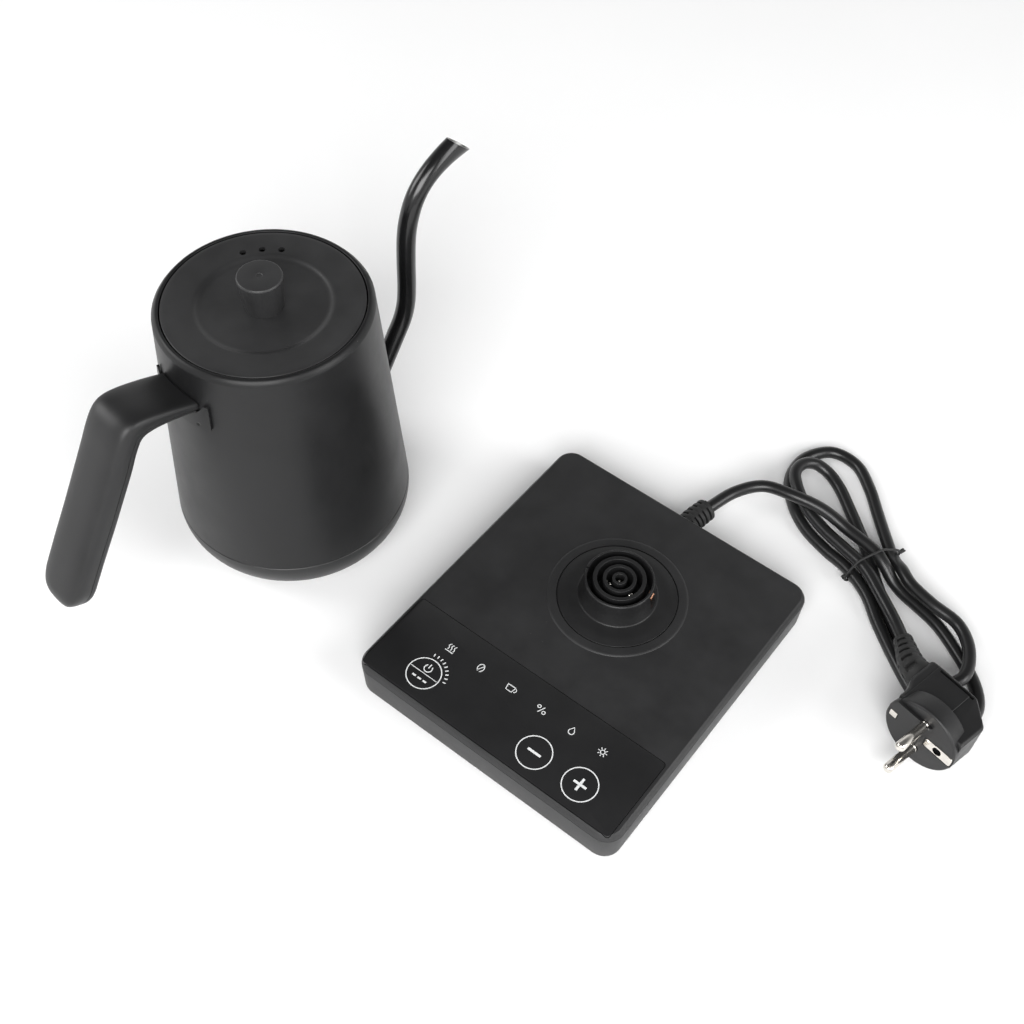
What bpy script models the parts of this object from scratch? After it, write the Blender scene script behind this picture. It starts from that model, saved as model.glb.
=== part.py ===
"""Gooseneck electric kettle beside its power base, with the cord, its tie and the wall plug.

The design is laid out in millimetres and built in metres, +Z up.  The kettle stands on the same
surface as the base.  The scene's origin lies on that surface, under the middle of the two.
"""
import math

import bmesh
import bpy
from mathutils import Matrix, Vector
from mathutils.geometry import interpolate_bezier

MM = 0.001
GAP = 0.3              # clearance between pieces that touch
ROUND_STEPS = 24       # sides of the large turned pieces
SMALL_STEPS = 10       # sides of the small turned pieces
SCREW_STEPS = 8

# Where the assemblies stand
BASE_CENTRE = (74.04, 27.71)
KETTLE_CENTRE = (-89.66, 5.64)
HANDLE_AZIMUTH = -97.0       # the handle points this way; the spout points opposite

# Kettle body
RIM_RADIUS = 47.4
RIM_Z = 143.0
RIM_TOP = 144.0
BELLY_RADIUS = 56.45
BELLY_Z = 22.0
FOOT_RADIUS = 34.45
COVER_TOP = 24.4
WALL = 1.0
LIP_RADIUS = 44.3
LIP_BOTTOM = 136.0

# Lid
LID_RADIUS = 43.3
VENT_CIRCLE = 33.3
VENT_RADIUS = 1.5
VENT_AZIMUTHS = (247.1, 232.5, 217.7)
KNOB_TOP = 158.0
KNOB_RADIUS = 10.0

# Heater stack
PLATE_Z = 27.5
PLATE_THICK = 1.2
SPREADER_RADIUS = 45.0
SENSOR_X = 22.0
SOCKET_CEILING = 16.0

# Spout and handle
TUBE_RADIUS = 4.5
TUBE_WALL = 1.0
HANDLE_WIDTH = 25.4
GRIP_THICK = 13.2
ROOT_THICK = 6.4
BEND_EXTRA = 2.0          # extra depth that rounds the inner side of the bend
BEND_AT = 39.0            # distance of the bend from the root
STRIP_WIDTH = 13.0
STRIP_THICK = 1.2

# Power base
BASE_X = 143.3
BASE_Y = 162.9
BASE_TOP = 21.25
SEAM_Z = 18.1
BEVEL = 1.94
CORNER = 9.0
SHELL = 2.2
FLOOR_Z = 1.0
PANEL_Y = (-79.0, -36.0)
PANEL_X = (-69.0, 68.0)
PANEL_THICK = 0.9
CONNECTOR = (1.2, 21.7)
BOSS_RADIUS = 16.5
BOSS_TOP = 35.9
FLANGE_RADIUS = 28.4
FLANGE_Z = 21.8
GROOVES = ((12.4, 15.2), (7.8, 10.5), (3.5, 6.2))
GROOVE_FLOOR = 24.2
CENTRE_HOLE = 2.2
EARTH_AZIMUTH = 12.0
SCREW_X = 63.0
SCREW_Y = 72.5
FOOT_X = 52.0
FOOT_Y = 64.0

# Cord and plug
CORD_RADIUS = 3.1
RELIEF_X = 0.8
RELIEF_Z = 11.5
PLUG_FACE = (146.7, 45.8, 18.6)
PIN_DIRECTION = (-0.201, -0.974, 0.060)
CABLE_SIDE = (0.979, -0.202, 0.0)
PIN_SPACING = 19.0
PIN_RADIUS = 2.4
PIN_LENGTH = 19.0


# ---------------------------------------------------------------- looks

def look(name, colour, roughness, metallic=0.0):
    """A plain Principled material."""
    material = bpy.data.materials.new(name)
    material.use_nodes = True
    shader = material.node_tree.nodes["Principled BSDF"]
    shader.inputs["Base Color"].default_value = (*colour, 1.0)
    shader.inputs["Roughness"].default_value = roughness
    shader.inputs["Metallic"].default_value = metallic
    return material


def make_looks():
    return {
        "body_paint": look("body_paint", (0.030, 0.030, 0.031), 0.42),
        "lid_paint": look("lid_paint", (0.024, 0.024, 0.025), 0.34),
        "spout_paint": look("spout_paint", (0.012, 0.012, 0.012), 0.22),
        "black_plastic": look("black_plastic", (0.020, 0.020, 0.021), 0.45),
        "base_plastic": look("base_plastic", (0.035, 0.035, 0.036), 0.50),
        "panel_gloss": look("panel_gloss", (0.022, 0.022, 0.023), 0.18),
        "rubber": look("rubber", (0.018, 0.018, 0.018), 0.80),
        "cord_vinyl": look("cord_vinyl", (0.015, 0.015, 0.015), 0.38),
        "silicone": look("silicone", (0.45, 0.45, 0.45), 0.60),
        "steel": look("steel", (0.62, 0.61, 0.60), 0.28, 1.0),
        "aluminium": look("aluminium", (0.70, 0.71, 0.72), 0.40, 1.0),
        "nickel": look("nickel", (0.72, 0.69, 0.64), 0.16, 1.0),
        "brass": look("brass", (0.72, 0.52, 0.24), 0.28, 1.0),
        "copper": look("copper", (0.80, 0.45, 0.32), 0.30, 1.0),
        "board_green": look("board_green", (0.02, 0.12, 0.06), 0.55),
    }


# ---------------------------------------------------------------- building tools

def frame_at(name, location, parent=None, turn=None):
    """An empty that carries an assembly; location in millimetres, turn as a 3 x 3 matrix."""
    empty = bpy.data.objects.new(name, None)
    bpy.context.collection.objects.link(empty)
    empty.parent = parent
    rotation = turn.to_4x4() if turn else Matrix.Identity(4)
    empty.matrix_local = Matrix.Translation(Vector(location) * MM) @ rotation
    return empty


def add(name, shape, material, parent):
    """Turn a shape laid out in millimetres into a named object of its own."""
    bmesh.ops.scale(shape, vec=(MM, MM, MM), verts=shape.verts)
    bmesh.ops.recalc_face_normals(shape, faces=shape.faces)
    mesh = bpy.data.meshes.new(name)
    shape.to_mesh(mesh)
    shape.free()
    mesh.shade_smooth()
    mesh.set_sharp_from_angle(angle=math.radians(32))
    mesh.materials.append(material)
    thing = bpy.data.objects.new(name, mesh)
    bpy.context.collection.objects.link(thing)
    thing.parent = parent
    return thing


def combine(target, shape, operation):
    """Cut or join a shape, as a live Boolean whose operand is a hidden guide."""
    name = f"{target.name}_{operation.lower()}_{len(target.modifiers)}"
    guide = add(name, shape, target.data.materials[0], target.parent)
    guide.hide_render = True
    guide.display_type = 'WIRE'
    modifier = target.modifiers.new(operation.title(), 'BOOLEAN')
    modifier.operation = operation
    modifier.solver = 'EXACT'
    modifier.object = guide
    return target


def merged(shapes):
    """Several separate shapes in one, for use as one cutter."""
    whole = bmesh.new()
    for shape in shapes:
        bmesh.ops.recalc_face_normals(shape, faces=shape.faces)
        mesh = bpy.data.meshes.new("part_shape")
        shape.to_mesh(mesh)
        shape.free()
        whole.from_mesh(mesh)
        bpy.data.meshes.remove(mesh)
    return whole


def moved(shape, offset=(0, 0, 0), turn=None):
    """The same shape, turned by a matrix and then shifted."""
    if turn:
        bmesh.ops.transform(shape, matrix=turn.to_4x4(), verts=shape.verts)
    bmesh.ops.translate(shape, vec=offset, verts=shape.verts)
    return shape


def lathe(profile, steps=ROUND_STEPS, closed=True):
    """Turn a profile of (radius, z) points about Z.  An open profile starts and ends on the axis."""
    shape = bmesh.new()
    verts = [shape.verts.new((radius, 0, z)) for radius, z in profile]
    pairs = list(zip(verts, verts[1:]))
    if closed:
        pairs.append((verts[-1], verts[0]))
    edges = [shape.edges.new(pair) for pair in pairs]
    bmesh.ops.spin(shape, geom=verts + edges, cent=(0, 0, 0), axis=(0, 0, 1),
                   angle=math.tau, steps=steps, use_merge=True)
    bmesh.ops.remove_doubles(shape, verts=shape.verts, dist=0.001)
    return shape


def cylinder(radius, low, high, centre=(0, 0), steps=SMALL_STEPS):
    """An upright cylinder."""
    shape = lathe([(0, low), (radius, low), (radius, high), (0, high)], steps, closed=False)
    return moved(shape, (*centre, 0))


def loft(rings, ring_closed=False):
    """Skin through rings with equal numbers of points; end caps unless the rings form a loop."""
    shape = bmesh.new()
    loops = [[shape.verts.new(point) for point in ring] for ring in rings]
    pairs = list(zip(loops, loops[1:]))
    if ring_closed:
        pairs.append((loops[-1], loops[0]))
    else:
        shape.faces.new(loops[0])
        shape.faces.new(loops[-1])
    count = len(rings[0])
    for one, other in pairs:
        for i in range(count):
            j = (i + 1) % count
            shape.faces.new((one[i], one[j], other[j], other[i]))
    return shape


def rounded_rectangle(half_x, half_y, corner, z, centre=(0, 0), corner_steps=3):
    """Points of an upright rounded rectangle, counter-clockwise."""
    points = []
    for quarter, (sx, sy) in enumerate(((1, 1), (-1, 1), (-1, -1), (1, -1))):
        middle_x = centre[0] + sx * (half_x - corner)
        middle_y = centre[1] + sy * (half_y - corner)
        for step in range(corner_steps + 1):
            angle = math.pi / 2 * (quarter + step / corner_steps)
            points.append((middle_x + corner * math.cos(angle),
                           middle_y + corner * math.sin(angle), z))
    return points


def block(x, y, z, corner=0.6, corner_steps=1):
    """A box between (low, high) limits with its upright edges eased."""
    half_x = (x[1] - x[0]) / 2
    half_y = (y[1] - y[0]) / 2
    centre = (x[0] + half_x, y[0] + half_y)
    return loft([rounded_rectangle(half_x, half_y, corner, level, centre, corner_steps) for level in z])


def smooth_path(points, spacing):
    """Evenly spaced points along a Catmull-Rom curve through hand-set points."""
    ends = [points[0] * 2 - points[1], *points, points[-1] * 2 - points[-2]]
    dense = []
    for a, b, c, d in zip(ends, ends[1:], ends[2:], ends[3:]):
        for step in range(24):
            t = step / 24
            dense.append(0.5 * (2 * b + (c - a) * t + (2 * a - 5 * b + 4 * c - d) * t ** 2
                                + (3 * b - a - 3 * c + d) * t ** 3))
    dense.append(points[-1])
    lengths = [0.0]
    for one, other in zip(dense, dense[1:]):
        lengths.append(lengths[-1] + (other - one).length)
    count = max(2, round(lengths[-1] / spacing))
    path = []
    index = 0
    for step in range(count + 1):
        target = lengths[-1] * step / count
        while index < len(dense) - 2 and lengths[index + 1] < target:
            index += 1
        part = (target - lengths[index]) / (lengths[index + 1] - lengths[index])
        path.append(dense[index].lerp(dense[index + 1], part))
    return path


def directions(path):
    """Unit tangents of a path."""
    before = [path[0], *path[:-1]]
    after = [*path[1:], path[-1]]
    return [(b - a).normalized() for a, b in zip(before, after)]


def round_sweep(path, tangents, radii, steps=SMALL_STEPS):
    """A solid of round sections of changing radius along a path."""
    rings = []
    for point, tangent, radius in zip(path, tangents, radii):
        side = tangent.cross(Vector((0.0, 0.0, 1.0))).normalized()
        up = side.cross(tangent)
        rings.append([point + radius * (math.cos(math.tau * i / steps) * side
                                        + math.sin(math.tau * i / steps) * up) for i in range(steps)])
    return loft(rings)


# ---------------------------------------------------------------- kettle

def body_radius(z):
    """Outer radius of the straight cone of the body."""
    return RIM_RADIUS + (RIM_Z - z) * (BELLY_RADIUS - RIM_RADIUS) / (RIM_Z - BELLY_Z)


def kettle_body(looks, frame):
    profile = [
        (body_radius(COVER_TOP + GAP), COVER_TOP + GAP),
        (RIM_RADIUS, RIM_Z), (RIM_RADIUS - 0.3, RIM_Z + 0.7), (RIM_RADIUS - 1.2, RIM_TOP),
        (LIP_RADIUS + 0.7, RIM_TOP - 0.3), (LIP_RADIUS, RIM_Z - 0.4), (LIP_RADIUS, LIP_BOTTOM),
        (body_radius(LIP_BOTTOM - 2) - WALL, LIP_BOTTOM - 2),
        (body_radius(COVER_TOP + GAP) - WALL, COVER_TOP + GAP)]
    body = add("kettle_body", lathe(profile), looks["body_paint"], frame)
    hole_radius = TUBE_RADIUS + GAP
    start = list(zip(spout_path(), directions(spout_path())))[:5]
    hole = loft([spout_ring(point, tangent, hole_radius, hole_radius) for point, tangent in start])
    return combine(body, hole, 'DIFFERENCE')


def bottom_cover(looks, frame):
    """Moulded foot of the kettle with the well for the power connector in its middle."""
    arc_centre = (FOOT_RADIUS, BELLY_Z)
    outer = []
    inner = []
    for step in range(6):
        angle = math.pi / 2 * step / 5
        for points, radius in ((outer, BELLY_Z), (inner, BELLY_Z - 2.0)):
            points.append((arc_centre[0] + radius * math.sin(angle),
                           arc_centre[1] - radius * math.cos(angle)))
    top = body_radius(COVER_TOP)
    profile = [(18.6, 5.0), (22.0, 1.6), (30.0, 1.6), (31.0, 0.0), *outer, (top, COVER_TOP),
               (top - 1.6, COVER_TOP), *reversed(inner), (30.0, 3.6), (22.8, 3.6), (20.4, 6.0),
               (20.4, 19.0), (18.6, 19.0)]
    cover = add("bottom_cover", lathe(profile), looks["black_plastic"], frame)
    holes = [cylinder(1.7, -1, 5, spot) for spot in bottom_screw_spots()]
    return combine(cover, merged(holes), 'DIFFERENCE')


def bottom_screw_spots():
    return [(26.5 * math.cos(angle), 26.5 * math.sin(angle))
            for angle in (math.radians(60), math.radians(180), math.radians(300))]


def bottom_screws(looks, frame):
    for number, spot in enumerate(bottom_screw_spots(), 1):
        profile = [(0, 0.4), (2.4, 0.4), (2.7, 0.7), (2.7, 1.3), (1.4, 1.3), (1.4, 17.0), (0, 18.0)]
        screw = moved(lathe(profile, SCREW_STEPS, closed=False), (*spot, 0))
        add(f"bottom_screw_{number}", screw, looks["steel"], frame)


def heater_stack(looks, frame):
    """Boiling plate, heat spreader with its screw bosses, heating element, cut-out and sensor."""
    plate_top = PLATE_Z + PLATE_THICK
    plate_radius = body_radius(plate_top) - WALL - GAP
    plate = lathe([(0, PLATE_Z), (plate_radius - 0.6, PLATE_Z), (plate_radius, PLATE_Z + 0.6),
                   (plate_radius, plate_top), (0, plate_top)], closed=False)
    plate = add("heater_plate", plate, looks["steel"], frame)
    combine(plate, cylinder(3.3, 20, 40, (SENSOR_X, 0)), 'DIFFERENCE')

    top = PLATE_Z - GAP
    spreader = add("heat_spreader", cylinder(SPREADER_RADIUS, top - 2.5, top, steps=ROUND_STEPS),
                   looks["aluminium"], frame)
    combine(spreader, merged([cylinder(3.2, 12, top - 1.5, spot) for spot in bottom_screw_spots()]), 'UNION')
    holes = [cylinder(1.7, 6, 20, spot) for spot in bottom_screw_spots()]
    holes.append(cylinder(3.3, 15, 40, (SENSOR_X, 0)))
    combine(spreader, merged(holes), 'DIFFERENCE')

    element_radius = 3.2
    element_z = top - 2.5 - GAP - element_radius
    ring = [Vector((37.5 * math.cos(angle), 37.5 * math.sin(angle), element_z))
            for angle in (math.radians(25 + 310 * step / 24) for step in range(25))]
    add("heating_element", round_sweep(ring, directions(ring), [element_radius] * 25, 8), looks["aluminium"], frame)

    add("thermal_cutout", cylinder(7.0, 19.6, top - 2.5 - GAP, (-9.0, 0)), looks["black_plastic"], frame)
    probe = [(0, 19.6), (2.7, 19.6), (2.7, 34.0), (1.8, 35.6), (0, 36.2)]
    add("temperature_sensor", moved(lathe(probe, SMALL_STEPS, closed=False), (SENSOR_X, 0, 0)),
        looks["steel"], frame)
    seal = [(3.0, plate_top + GAP), (5.4, plate_top + GAP), (5.4, plate_top + 1.2), (3.0, plate_top + 2.2)]
    add("sensor_seal", moved(lathe(seal, SMALL_STEPS), (SENSOR_X, 0, 0)), looks["silicone"], frame)


def kettle_socket(looks, frame):
    """Female half of the round connector, up inside the foot; it turns freely about the base's boss."""
    top = 19.3
    housing = [(2.5, SOCKET_CEILING), (2.5, 9.0), (3.3, 9.0), (3.3, SOCKET_CEILING), (13.0, SOCKET_CEILING),
               (13.0, 6.0), (14.4, 6.0), (14.4, SOCKET_CEILING), (16.2, SOCKET_CEILING), (16.2, top - 1.4),
               (2.5, top - 1.4)]
    add("socket_housing", lathe(housing), looks["black_plastic"], frame)
    earth = [(17.6, 6.5), (18.2, 6.5), (18.2, top - GAP), (17.6, top - GAP)]
    add("socket_earth_ring", lathe(earth), looks["steel"], frame)
    low = SOCKET_CEILING - GAP
    add("socket_ring_outer", lathe([(8.4, 7.0), (9.2, 7.0), (9.2, low), (8.4, low)], 24), looks["brass"], frame)
    add("socket_ring_inner", lathe([(4.2, 7.5), (4.9, 7.5), (4.9, low), (4.2, low)], 24), looks["brass"], frame)
    pin = [(0, 8.0), (0.9, 8.0), (1.5, 8.8), (1.5, 19.0), (0, 19.0)]
    add("socket_pin", lathe(pin, 16, closed=False), looks["brass"], frame)


def spout_path():
    """Centre line of the gooseneck, from inside the body wall to past the mouth."""
    route = [(-44.0, 32.0), (-54.0, 46.6), (-62.3, 59.9), (-70.4, 72.6), (-75.6, 81.0), (-78.4, 89.6),
             (-79.5, 99.9), (-80.0, 114.0), (-80.9, 128.0), (-82.9, 138.0), (-86.6, 146.9),
             (-91.7, 153.4), (-97.6, 157.8), (-103.8, 160.8), (-110.5, 163.0), (-121.0, 165.5)]
    return smooth_path([Vector((x, 0.0, z)) for x, z in route], 6.4)


def spout_ring(point, tangent, wide, tall):
    """Oval section of the spout, across its plane and in its plane."""
    steps = 10
    up = Vector((-tangent.z, 0.0, tangent.x))
    ring = []
    for i in range(steps):
        angle = math.tau * i / steps
        ring.append(point + Vector((0.0, wide * math.cos(angle), 0.0)) + tall * math.sin(angle) * up)
    return ring


def spout(looks, frame):
    """A bent tube that widens into a slanted, pointed beak."""
    path = spout_path()
    flare_from = len(path) - 6
    rings = []
    for inside in (False, True):
        stations = list(zip(path, directions(path), range(len(path))))
        if inside:
            stations.reverse()
        for point, tangent, index in stations:
            radius = TUBE_RADIUS - (TUBE_WALL if inside else 0.0)
            flare = max(0, index - flare_from) / 5
            rings.append(spout_ring(point, tangent, radius, radius + 2.6 * flare ** 1.5))
    tube = add("spout", loft(rings, ring_closed=True), looks["spout_paint"], frame)
    inside_z = (20.0, 80.0)
    core = [(0, inside_z[0]), *((body_radius(z) - WALL, z) for z in inside_z), (0, inside_z[1])]
    combine(tube, lathe(core, closed=False), 'DIFFERENCE')
    lip = Vector((-107.6, 0.0, 170.1))
    tip = Vector((-120.8, 0.0, 157.9))
    along = (tip - lip).normalized()
    out = Vector((along.z, 0.0, -along.x))
    corners = [lip - 12 * along, tip + 12 * along, tip + 12 * along + 30 * out, lip - 12 * along + 30 * out]
    slab = [[corner + Vector((0.0, side, 0.0)) for corner in corners] for side in (-20.0, 20.0)]
    return combine(tube, loft(slab), 'DIFFERENCE')


# ---------------------------------------------------------------- handle

def handle_stations():
    """Stations along the handle's outer face: point, direction into the handle, thickness, half width."""
    outline = [(45.6, 125.5), (52.6, 128.5), (60.6, 131.7), (70.8, 135.0), (77.9, 135.7), (83.0, 133.2),
               (87.6, 127.2), (92.7, 118.3), (98.7, 108.0), (108.7, 91.0), (117.5, 76.6), (124.7, 64.4),
               (130.2, 54.8), (132.2, 49.8)]
    path = smooth_path([Vector((x, 0.0, z)) for x, z in outline], 6.5)
    stations = []
    travelled = 0.0
    total = sum((b - a).length for a, b in zip(path, path[1:]))
    for index, (point, tangent) in enumerate(zip(path, directions(path))):
        if index:
            travelled += (point - path[index - 1]).length
        inward = Vector((tangent.z, 0.0, -tangent.x))
        grown = min(1.0, travelled / 40.0)
        fillet = BEND_EXTRA * math.exp(-((travelled - BEND_AT) / 9.0) ** 2)
        thick = ROOT_THICK + (GRIP_THICK - ROOT_THICK) * grown ** 1.4 + fillet
        left = total - travelled
        ease = 14.0
        narrow = 1.0 if left > ease else math.sqrt(max(0.0, 1.0 - ((ease - left) / (ease + 3.0)) ** 2))
        stations.append((point, inward, thick, HANDLE_WIDTH / 2 * narrow))
    return stations


def handle_loft(section, stations):
    """Skin a handle piece; section gives (across, depth) points for a half width and a thickness."""
    rings = []
    for point, inward, thick, half in stations:
        rings.append([point + Vector((0.0, across, 0.0)) + depth * inward
                      for across, depth in section(half, thick)])
    return loft(rings)


def shell_section(half, thick):
    """Outer channel: a soft-edged face with two side walls that reach two thirds of the depth."""
    wall = 0.16 * half
    deep = 0.62 * thick
    return [(half, deep), (half, 0.30 * thick), (0.90 * half, 0.06 * thick), (0.45 * half, 0.0),
            (-0.45 * half, 0.0), (-0.90 * half, 0.06 * thick), (-half, 0.30 * thick), (-half, deep),
            (wall - half, deep), (wall - half, 0.26 * thick), (half - wall, 0.26 * thick),
            (half - wall, deep)]


def cover_section(half, thick):
    """Inner strip that closes the channel."""
    start = 0.62 * thick + GAP
    return [(half, start), (half, 0.80 * thick), (0.80 * half, thick), (-0.80 * half, thick),
            (-half, 0.80 * thick), (-half, start)]


def strip_section(_half, thick):
    """Flat steel strip inside the channel."""
    start = 0.26 * thick + GAP
    half = STRIP_WIDTH / 2
    return [(half, start), (half, start + STRIP_THICK), (-half, start + STRIP_THICK), (-half, start)]


def handle_screw_frames(stations):
    """Where the two screws enter from the inner side: points, inward directions and thicknesses."""
    return [(stations[index][0], stations[index][1], stations[index][2]) for index in (4, len(stations) - 7)]


def pin_along(point, direction, profile, steps=SMALL_STEPS):
    """A turned pin whose own Z runs along a direction from a point."""
    turn = Vector((0.0, 0.0, 1.0)).rotation_difference(direction).to_matrix()
    return moved(lathe(profile, steps, closed=False), point, turn)


def handle(looks, frame):
    stations = handle_stations()
    root = [(0, 90.0), (body_radius(90.0) + 1.9, 90.0), (body_radius(150.0) + 1.9, 150.0), (0, 150.0)]
    shell = add("handle_shell", handle_loft(shell_section, stations), looks["black_plastic"], frame)
    combine(shell, lathe(root, closed=False), 'DIFFERENCE')
    cover = add("handle_inner_cover", handle_loft(cover_section, stations), looks["black_plastic"], frame)
    combine(cover, lathe(root, closed=False), 'DIFFERENCE')

    saddle = []
    for z in (111.0, 126.0):
        inner_radius = body_radius(z) + GAP
        saddle.append((inner_radius, z))
    saddle_ring = [saddle[0], (saddle[0][0] + WALL, saddle[0][1]), (saddle[1][0] + WALL, saddle[1][1]), saddle[1]]
    arc = []
    for step in range(13):
        angle = math.radians(-21.0 + 42.0 * step / 12)
        arc.append([Vector((radius * math.cos(angle), radius * math.sin(angle), z))
                    for radius, z in saddle_ring])
    bracket = add("handle_bracket", handle_loft(strip_section, stations[:-3]), looks["body_paint"], frame)
    welded = GAP + WALL / 2
    clear = [(0, 90.0), (body_radius(90.0) + welded, 90.0), (body_radius(150.0) + welded, 150.0), (0, 150.0)]
    combine(bracket, lathe(clear, closed=False), 'DIFFERENCE')
    combine(bracket, loft(arc), 'UNION')

    screws = handle_screw_frames(stations)
    holes = []
    for number, (point, inward, thick) in enumerate(screws, 1):
        low = 0.26 * thick + 0.6
        holes.append(pin_along(point, inward, [(0, low), (1.8, low), (1.8, thick - 1.3), (3.1, thick - 1.3),
                                               (3.1, thick + 3), (0, thick + 3)]))
        body = [(0, low + 0.4), (1.4, low + 0.4), (1.4, thick - 1.0), (2.8, thick - 1.0), (2.8, thick - 0.3),
                (2.2, thick + 0.1), (0, thick + 0.1)]
        add(f"handle_screw_{number}", pin_along(point, inward, body), looks["steel"], frame)
    combine(cover, merged(holes), 'DIFFERENCE')
    strip_holes = [pin_along(point, inward, [(0, 0.1), (1.8, 0.1), (1.8, thick), (0, thick)])
                   for point, inward, thick in screws]
    combine(bracket, merged(strip_holes), 'DIFFERENCE')


# ---------------------------------------------------------------- lid

def lid(looks, frame):
    """Pressed lid with a dished middle, three steam vents, a screwed knob and a sealed inner pan."""
    vents = [(VENT_CIRCLE * math.cos(math.radians(angle)), VENT_CIRCLE * math.sin(math.radians(angle)))
             for angle in VENT_AZIMUTHS]
    top = [(2.0, 140.0), (22.0, 140.0), (26.5, 140.5), (29.6, 141.8), (31.5, 142.2), (41.6, 142.9),
           (42.8, 142.6), (LID_RADIUS, 141.9)]
    under = [(LID_RADIUS, 138.6), (LID_RADIUS - 1.4, 138.6), (LID_RADIUS - 1.4, 141.2), (31.0, 140.6),
             (28.0, 139.2), (24.0, 138.5), (2.0, 138.5)]
    cover = add("lid_cover", lathe(top + under), looks["lid_paint"], frame)
    combine(cover, merged([cylinder(VENT_RADIUS, 130, 150, spot, 12) for spot in vents]), 'DIFFERENCE')

    knob = [(0, 150.0), (1.6, 150.0), (1.6, 140.3), (8.1, 140.3), (8.3, 141.0), (KNOB_RADIUS - 0.1, 156.7),
            (KNOB_RADIUS - 0.4, 157.6), (KNOB_RADIUS - 1.2, KNOB_TOP), (0, KNOB_TOP)]
    add("lid_knob", lathe(knob, 24, closed=False), looks["lid_paint"], frame)
    screw = [(0, 135.2), (2.9, 135.2), (3.2, 135.6), (3.2, 136.9), (1.3, 136.9), (1.3, 148.0), (0, 149.0)]
    add("knob_screw", lathe(screw, SMALL_STEPS, closed=False), looks["steel"], frame)

    pan = [(1.9, 137.2), (5.4, 137.2), (7.0, 132.0), (40.0, 132.0), (41.4, 133.4), (41.4, 138.2),
           (40.6, 138.2), (40.6, 133.6), (39.6, 132.8), (7.6, 132.8), (6.0, 138.0), (1.9, 138.0)]
    pan = add("lid_inner_plate", lathe(pan), looks["steel"], frame)
    combine(pan, merged([cylinder(VENT_RADIUS, 130, 136, spot, 12) for spot in vents]), 'DIFFERENCE')
    seal = [(41.7, 134.4), (43.9, 135.2), (43.9, 136.0), (42.6, 136.4), (43.9, 137.2), (43.9, 137.9), (41.7, 137.9)]
    add("lid_seal", lathe(seal), looks["silicone"], frame)


# ---------------------------------------------------------------- power base

def base_level(inset, z):
    """The base's rounded outline, drawn in by an inset, at a height."""
    return rounded_rectangle(BASE_X / 2 - inset, BASE_Y / 2 - inset, CORNER - min(inset, 4.0), z)


def corner_spots(x, y):
    return [(x, y), (-x, y), (-x, -y), (x, -y)]


def base_shells(looks, frame):
    """Top cover with its bevel, and the tray below the seam."""
    seam = SEAM_Z + GAP / 2
    under = BASE_TOP - SHELL
    levels = [(SHELL + 1.3, under), (SHELL + 0.2, seam), (0.0, seam), (0.9, 20.0), (1.5, 20.8), (BEVEL, BASE_TOP)]
    top = add("base_top_cover", loft([base_level(*level) for level in levels]), looks["base_plastic"], frame)
    bosses = [cylinder(3.6, 5.3, under + 0.6, spot) for spot in corner_spots(SCREW_X, SCREW_Y)]
    rise = [(25.0, under + 0.5), (25.0, FLANGE_Z), (FLANGE_RADIUS + 2.2, FLANGE_Z - 0.1),
            (33.4, BASE_TOP - 0.05), (33.4, under + 0.5)]
    bosses.append(moved(lathe(rise), (*CONNECTOR, 0)))
    combine(top, merged(bosses), 'UNION')
    well = [(0, 10.0), (20.3, 10.0), (20.3, 20.4), (FLANGE_RADIUS + GAP, 20.4), (FLANGE_RADIUS + GAP, 30.0), (0, 30.0)]
    cuts = [moved(lathe(well, closed=False), (*CONNECTOR, 0))]
    cuts += [cylinder(1.7, 4.0, 14.0, spot) for spot in corner_spots(SCREW_X, SCREW_Y)]
    cuts.append(block((PANEL_X[0] - GAP, PANEL_X[1] + GAP), (PANEL_Y[0] - GAP, PANEL_Y[1] + GAP),
                      (BASE_TOP - PANEL_THICK - GAP, 30.0), 2.0, 2))
    combine(top, merged(cuts), 'DIFFERENCE')

    levels = [(3.4, FLOOR_Z + 2.0), (SHELL + 0.2, SEAM_Z - GAP / 2), (0.0, SEAM_Z - GAP / 2), (0.7, FLOOR_Z + 0.9),
              (1.6, FLOOR_Z)]
    tray = add("base_lower_housing", loft([base_level(*level) for level in levels]), looks["base_plastic"], frame)
    pads = [cylinder(5.2, FLOOR_Z + 1.0, 5.0, spot) for spot in corner_spots(SCREW_X, SCREW_Y)]
    combine(tray, merged(pads), 'UNION')
    cuts = [lathe([(0, 0), (3.4, 0), (3.4, 3.4), (1.9, 3.4), (1.9, 8), (0, 8)], SMALL_STEPS, closed=False)
            for _ in range(4)]
    cuts = [moved(cut, (*spot, 0)) for cut, spot in zip(cuts, corner_spots(SCREW_X, SCREW_Y))]
    cuts += [cylinder(6.3, 0, FLOOR_Z + 0.9, spot) for spot in corner_spots(FOOT_X, FOOT_Y)]
    cord_hole = moved(cylinder(5.5, 70.0, 90.0), (0, 0, 0), Matrix.Rotation(-math.pi / 2, 3, 'X'))
    cuts.append(moved(cord_hole, (RELIEF_X, 0, RELIEF_Z)))
    combine(tray, merged(cuts), 'DIFFERENCE')


def base_fasteners(looks, frame):
    for number, spot in enumerate(corner_spots(FOOT_X, FOOT_Y), 1):
        foot = lathe([(0, 0), (5.5, 0), (6.0, 0.5), (6.0, 1.6), (0, 1.6)], SMALL_STEPS, closed=False)
        add(f"rubber_foot_{number}", moved(foot, (*spot, 0)), looks["rubber"], frame)
    for number, spot in enumerate(corner_spots(SCREW_X, SCREW_Y), 1):
        screw = lathe([(0, 1.5), (2.7, 1.5), (3.0, 1.8), (3.0, 3.1), (1.4, 3.1), (1.4, 11.0), (0, 12.0)],
                      SCREW_STEPS, closed=False)
        add(f"base_screw_{number}", moved(screw, (*spot, 0)), looks["steel"], frame)


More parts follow.
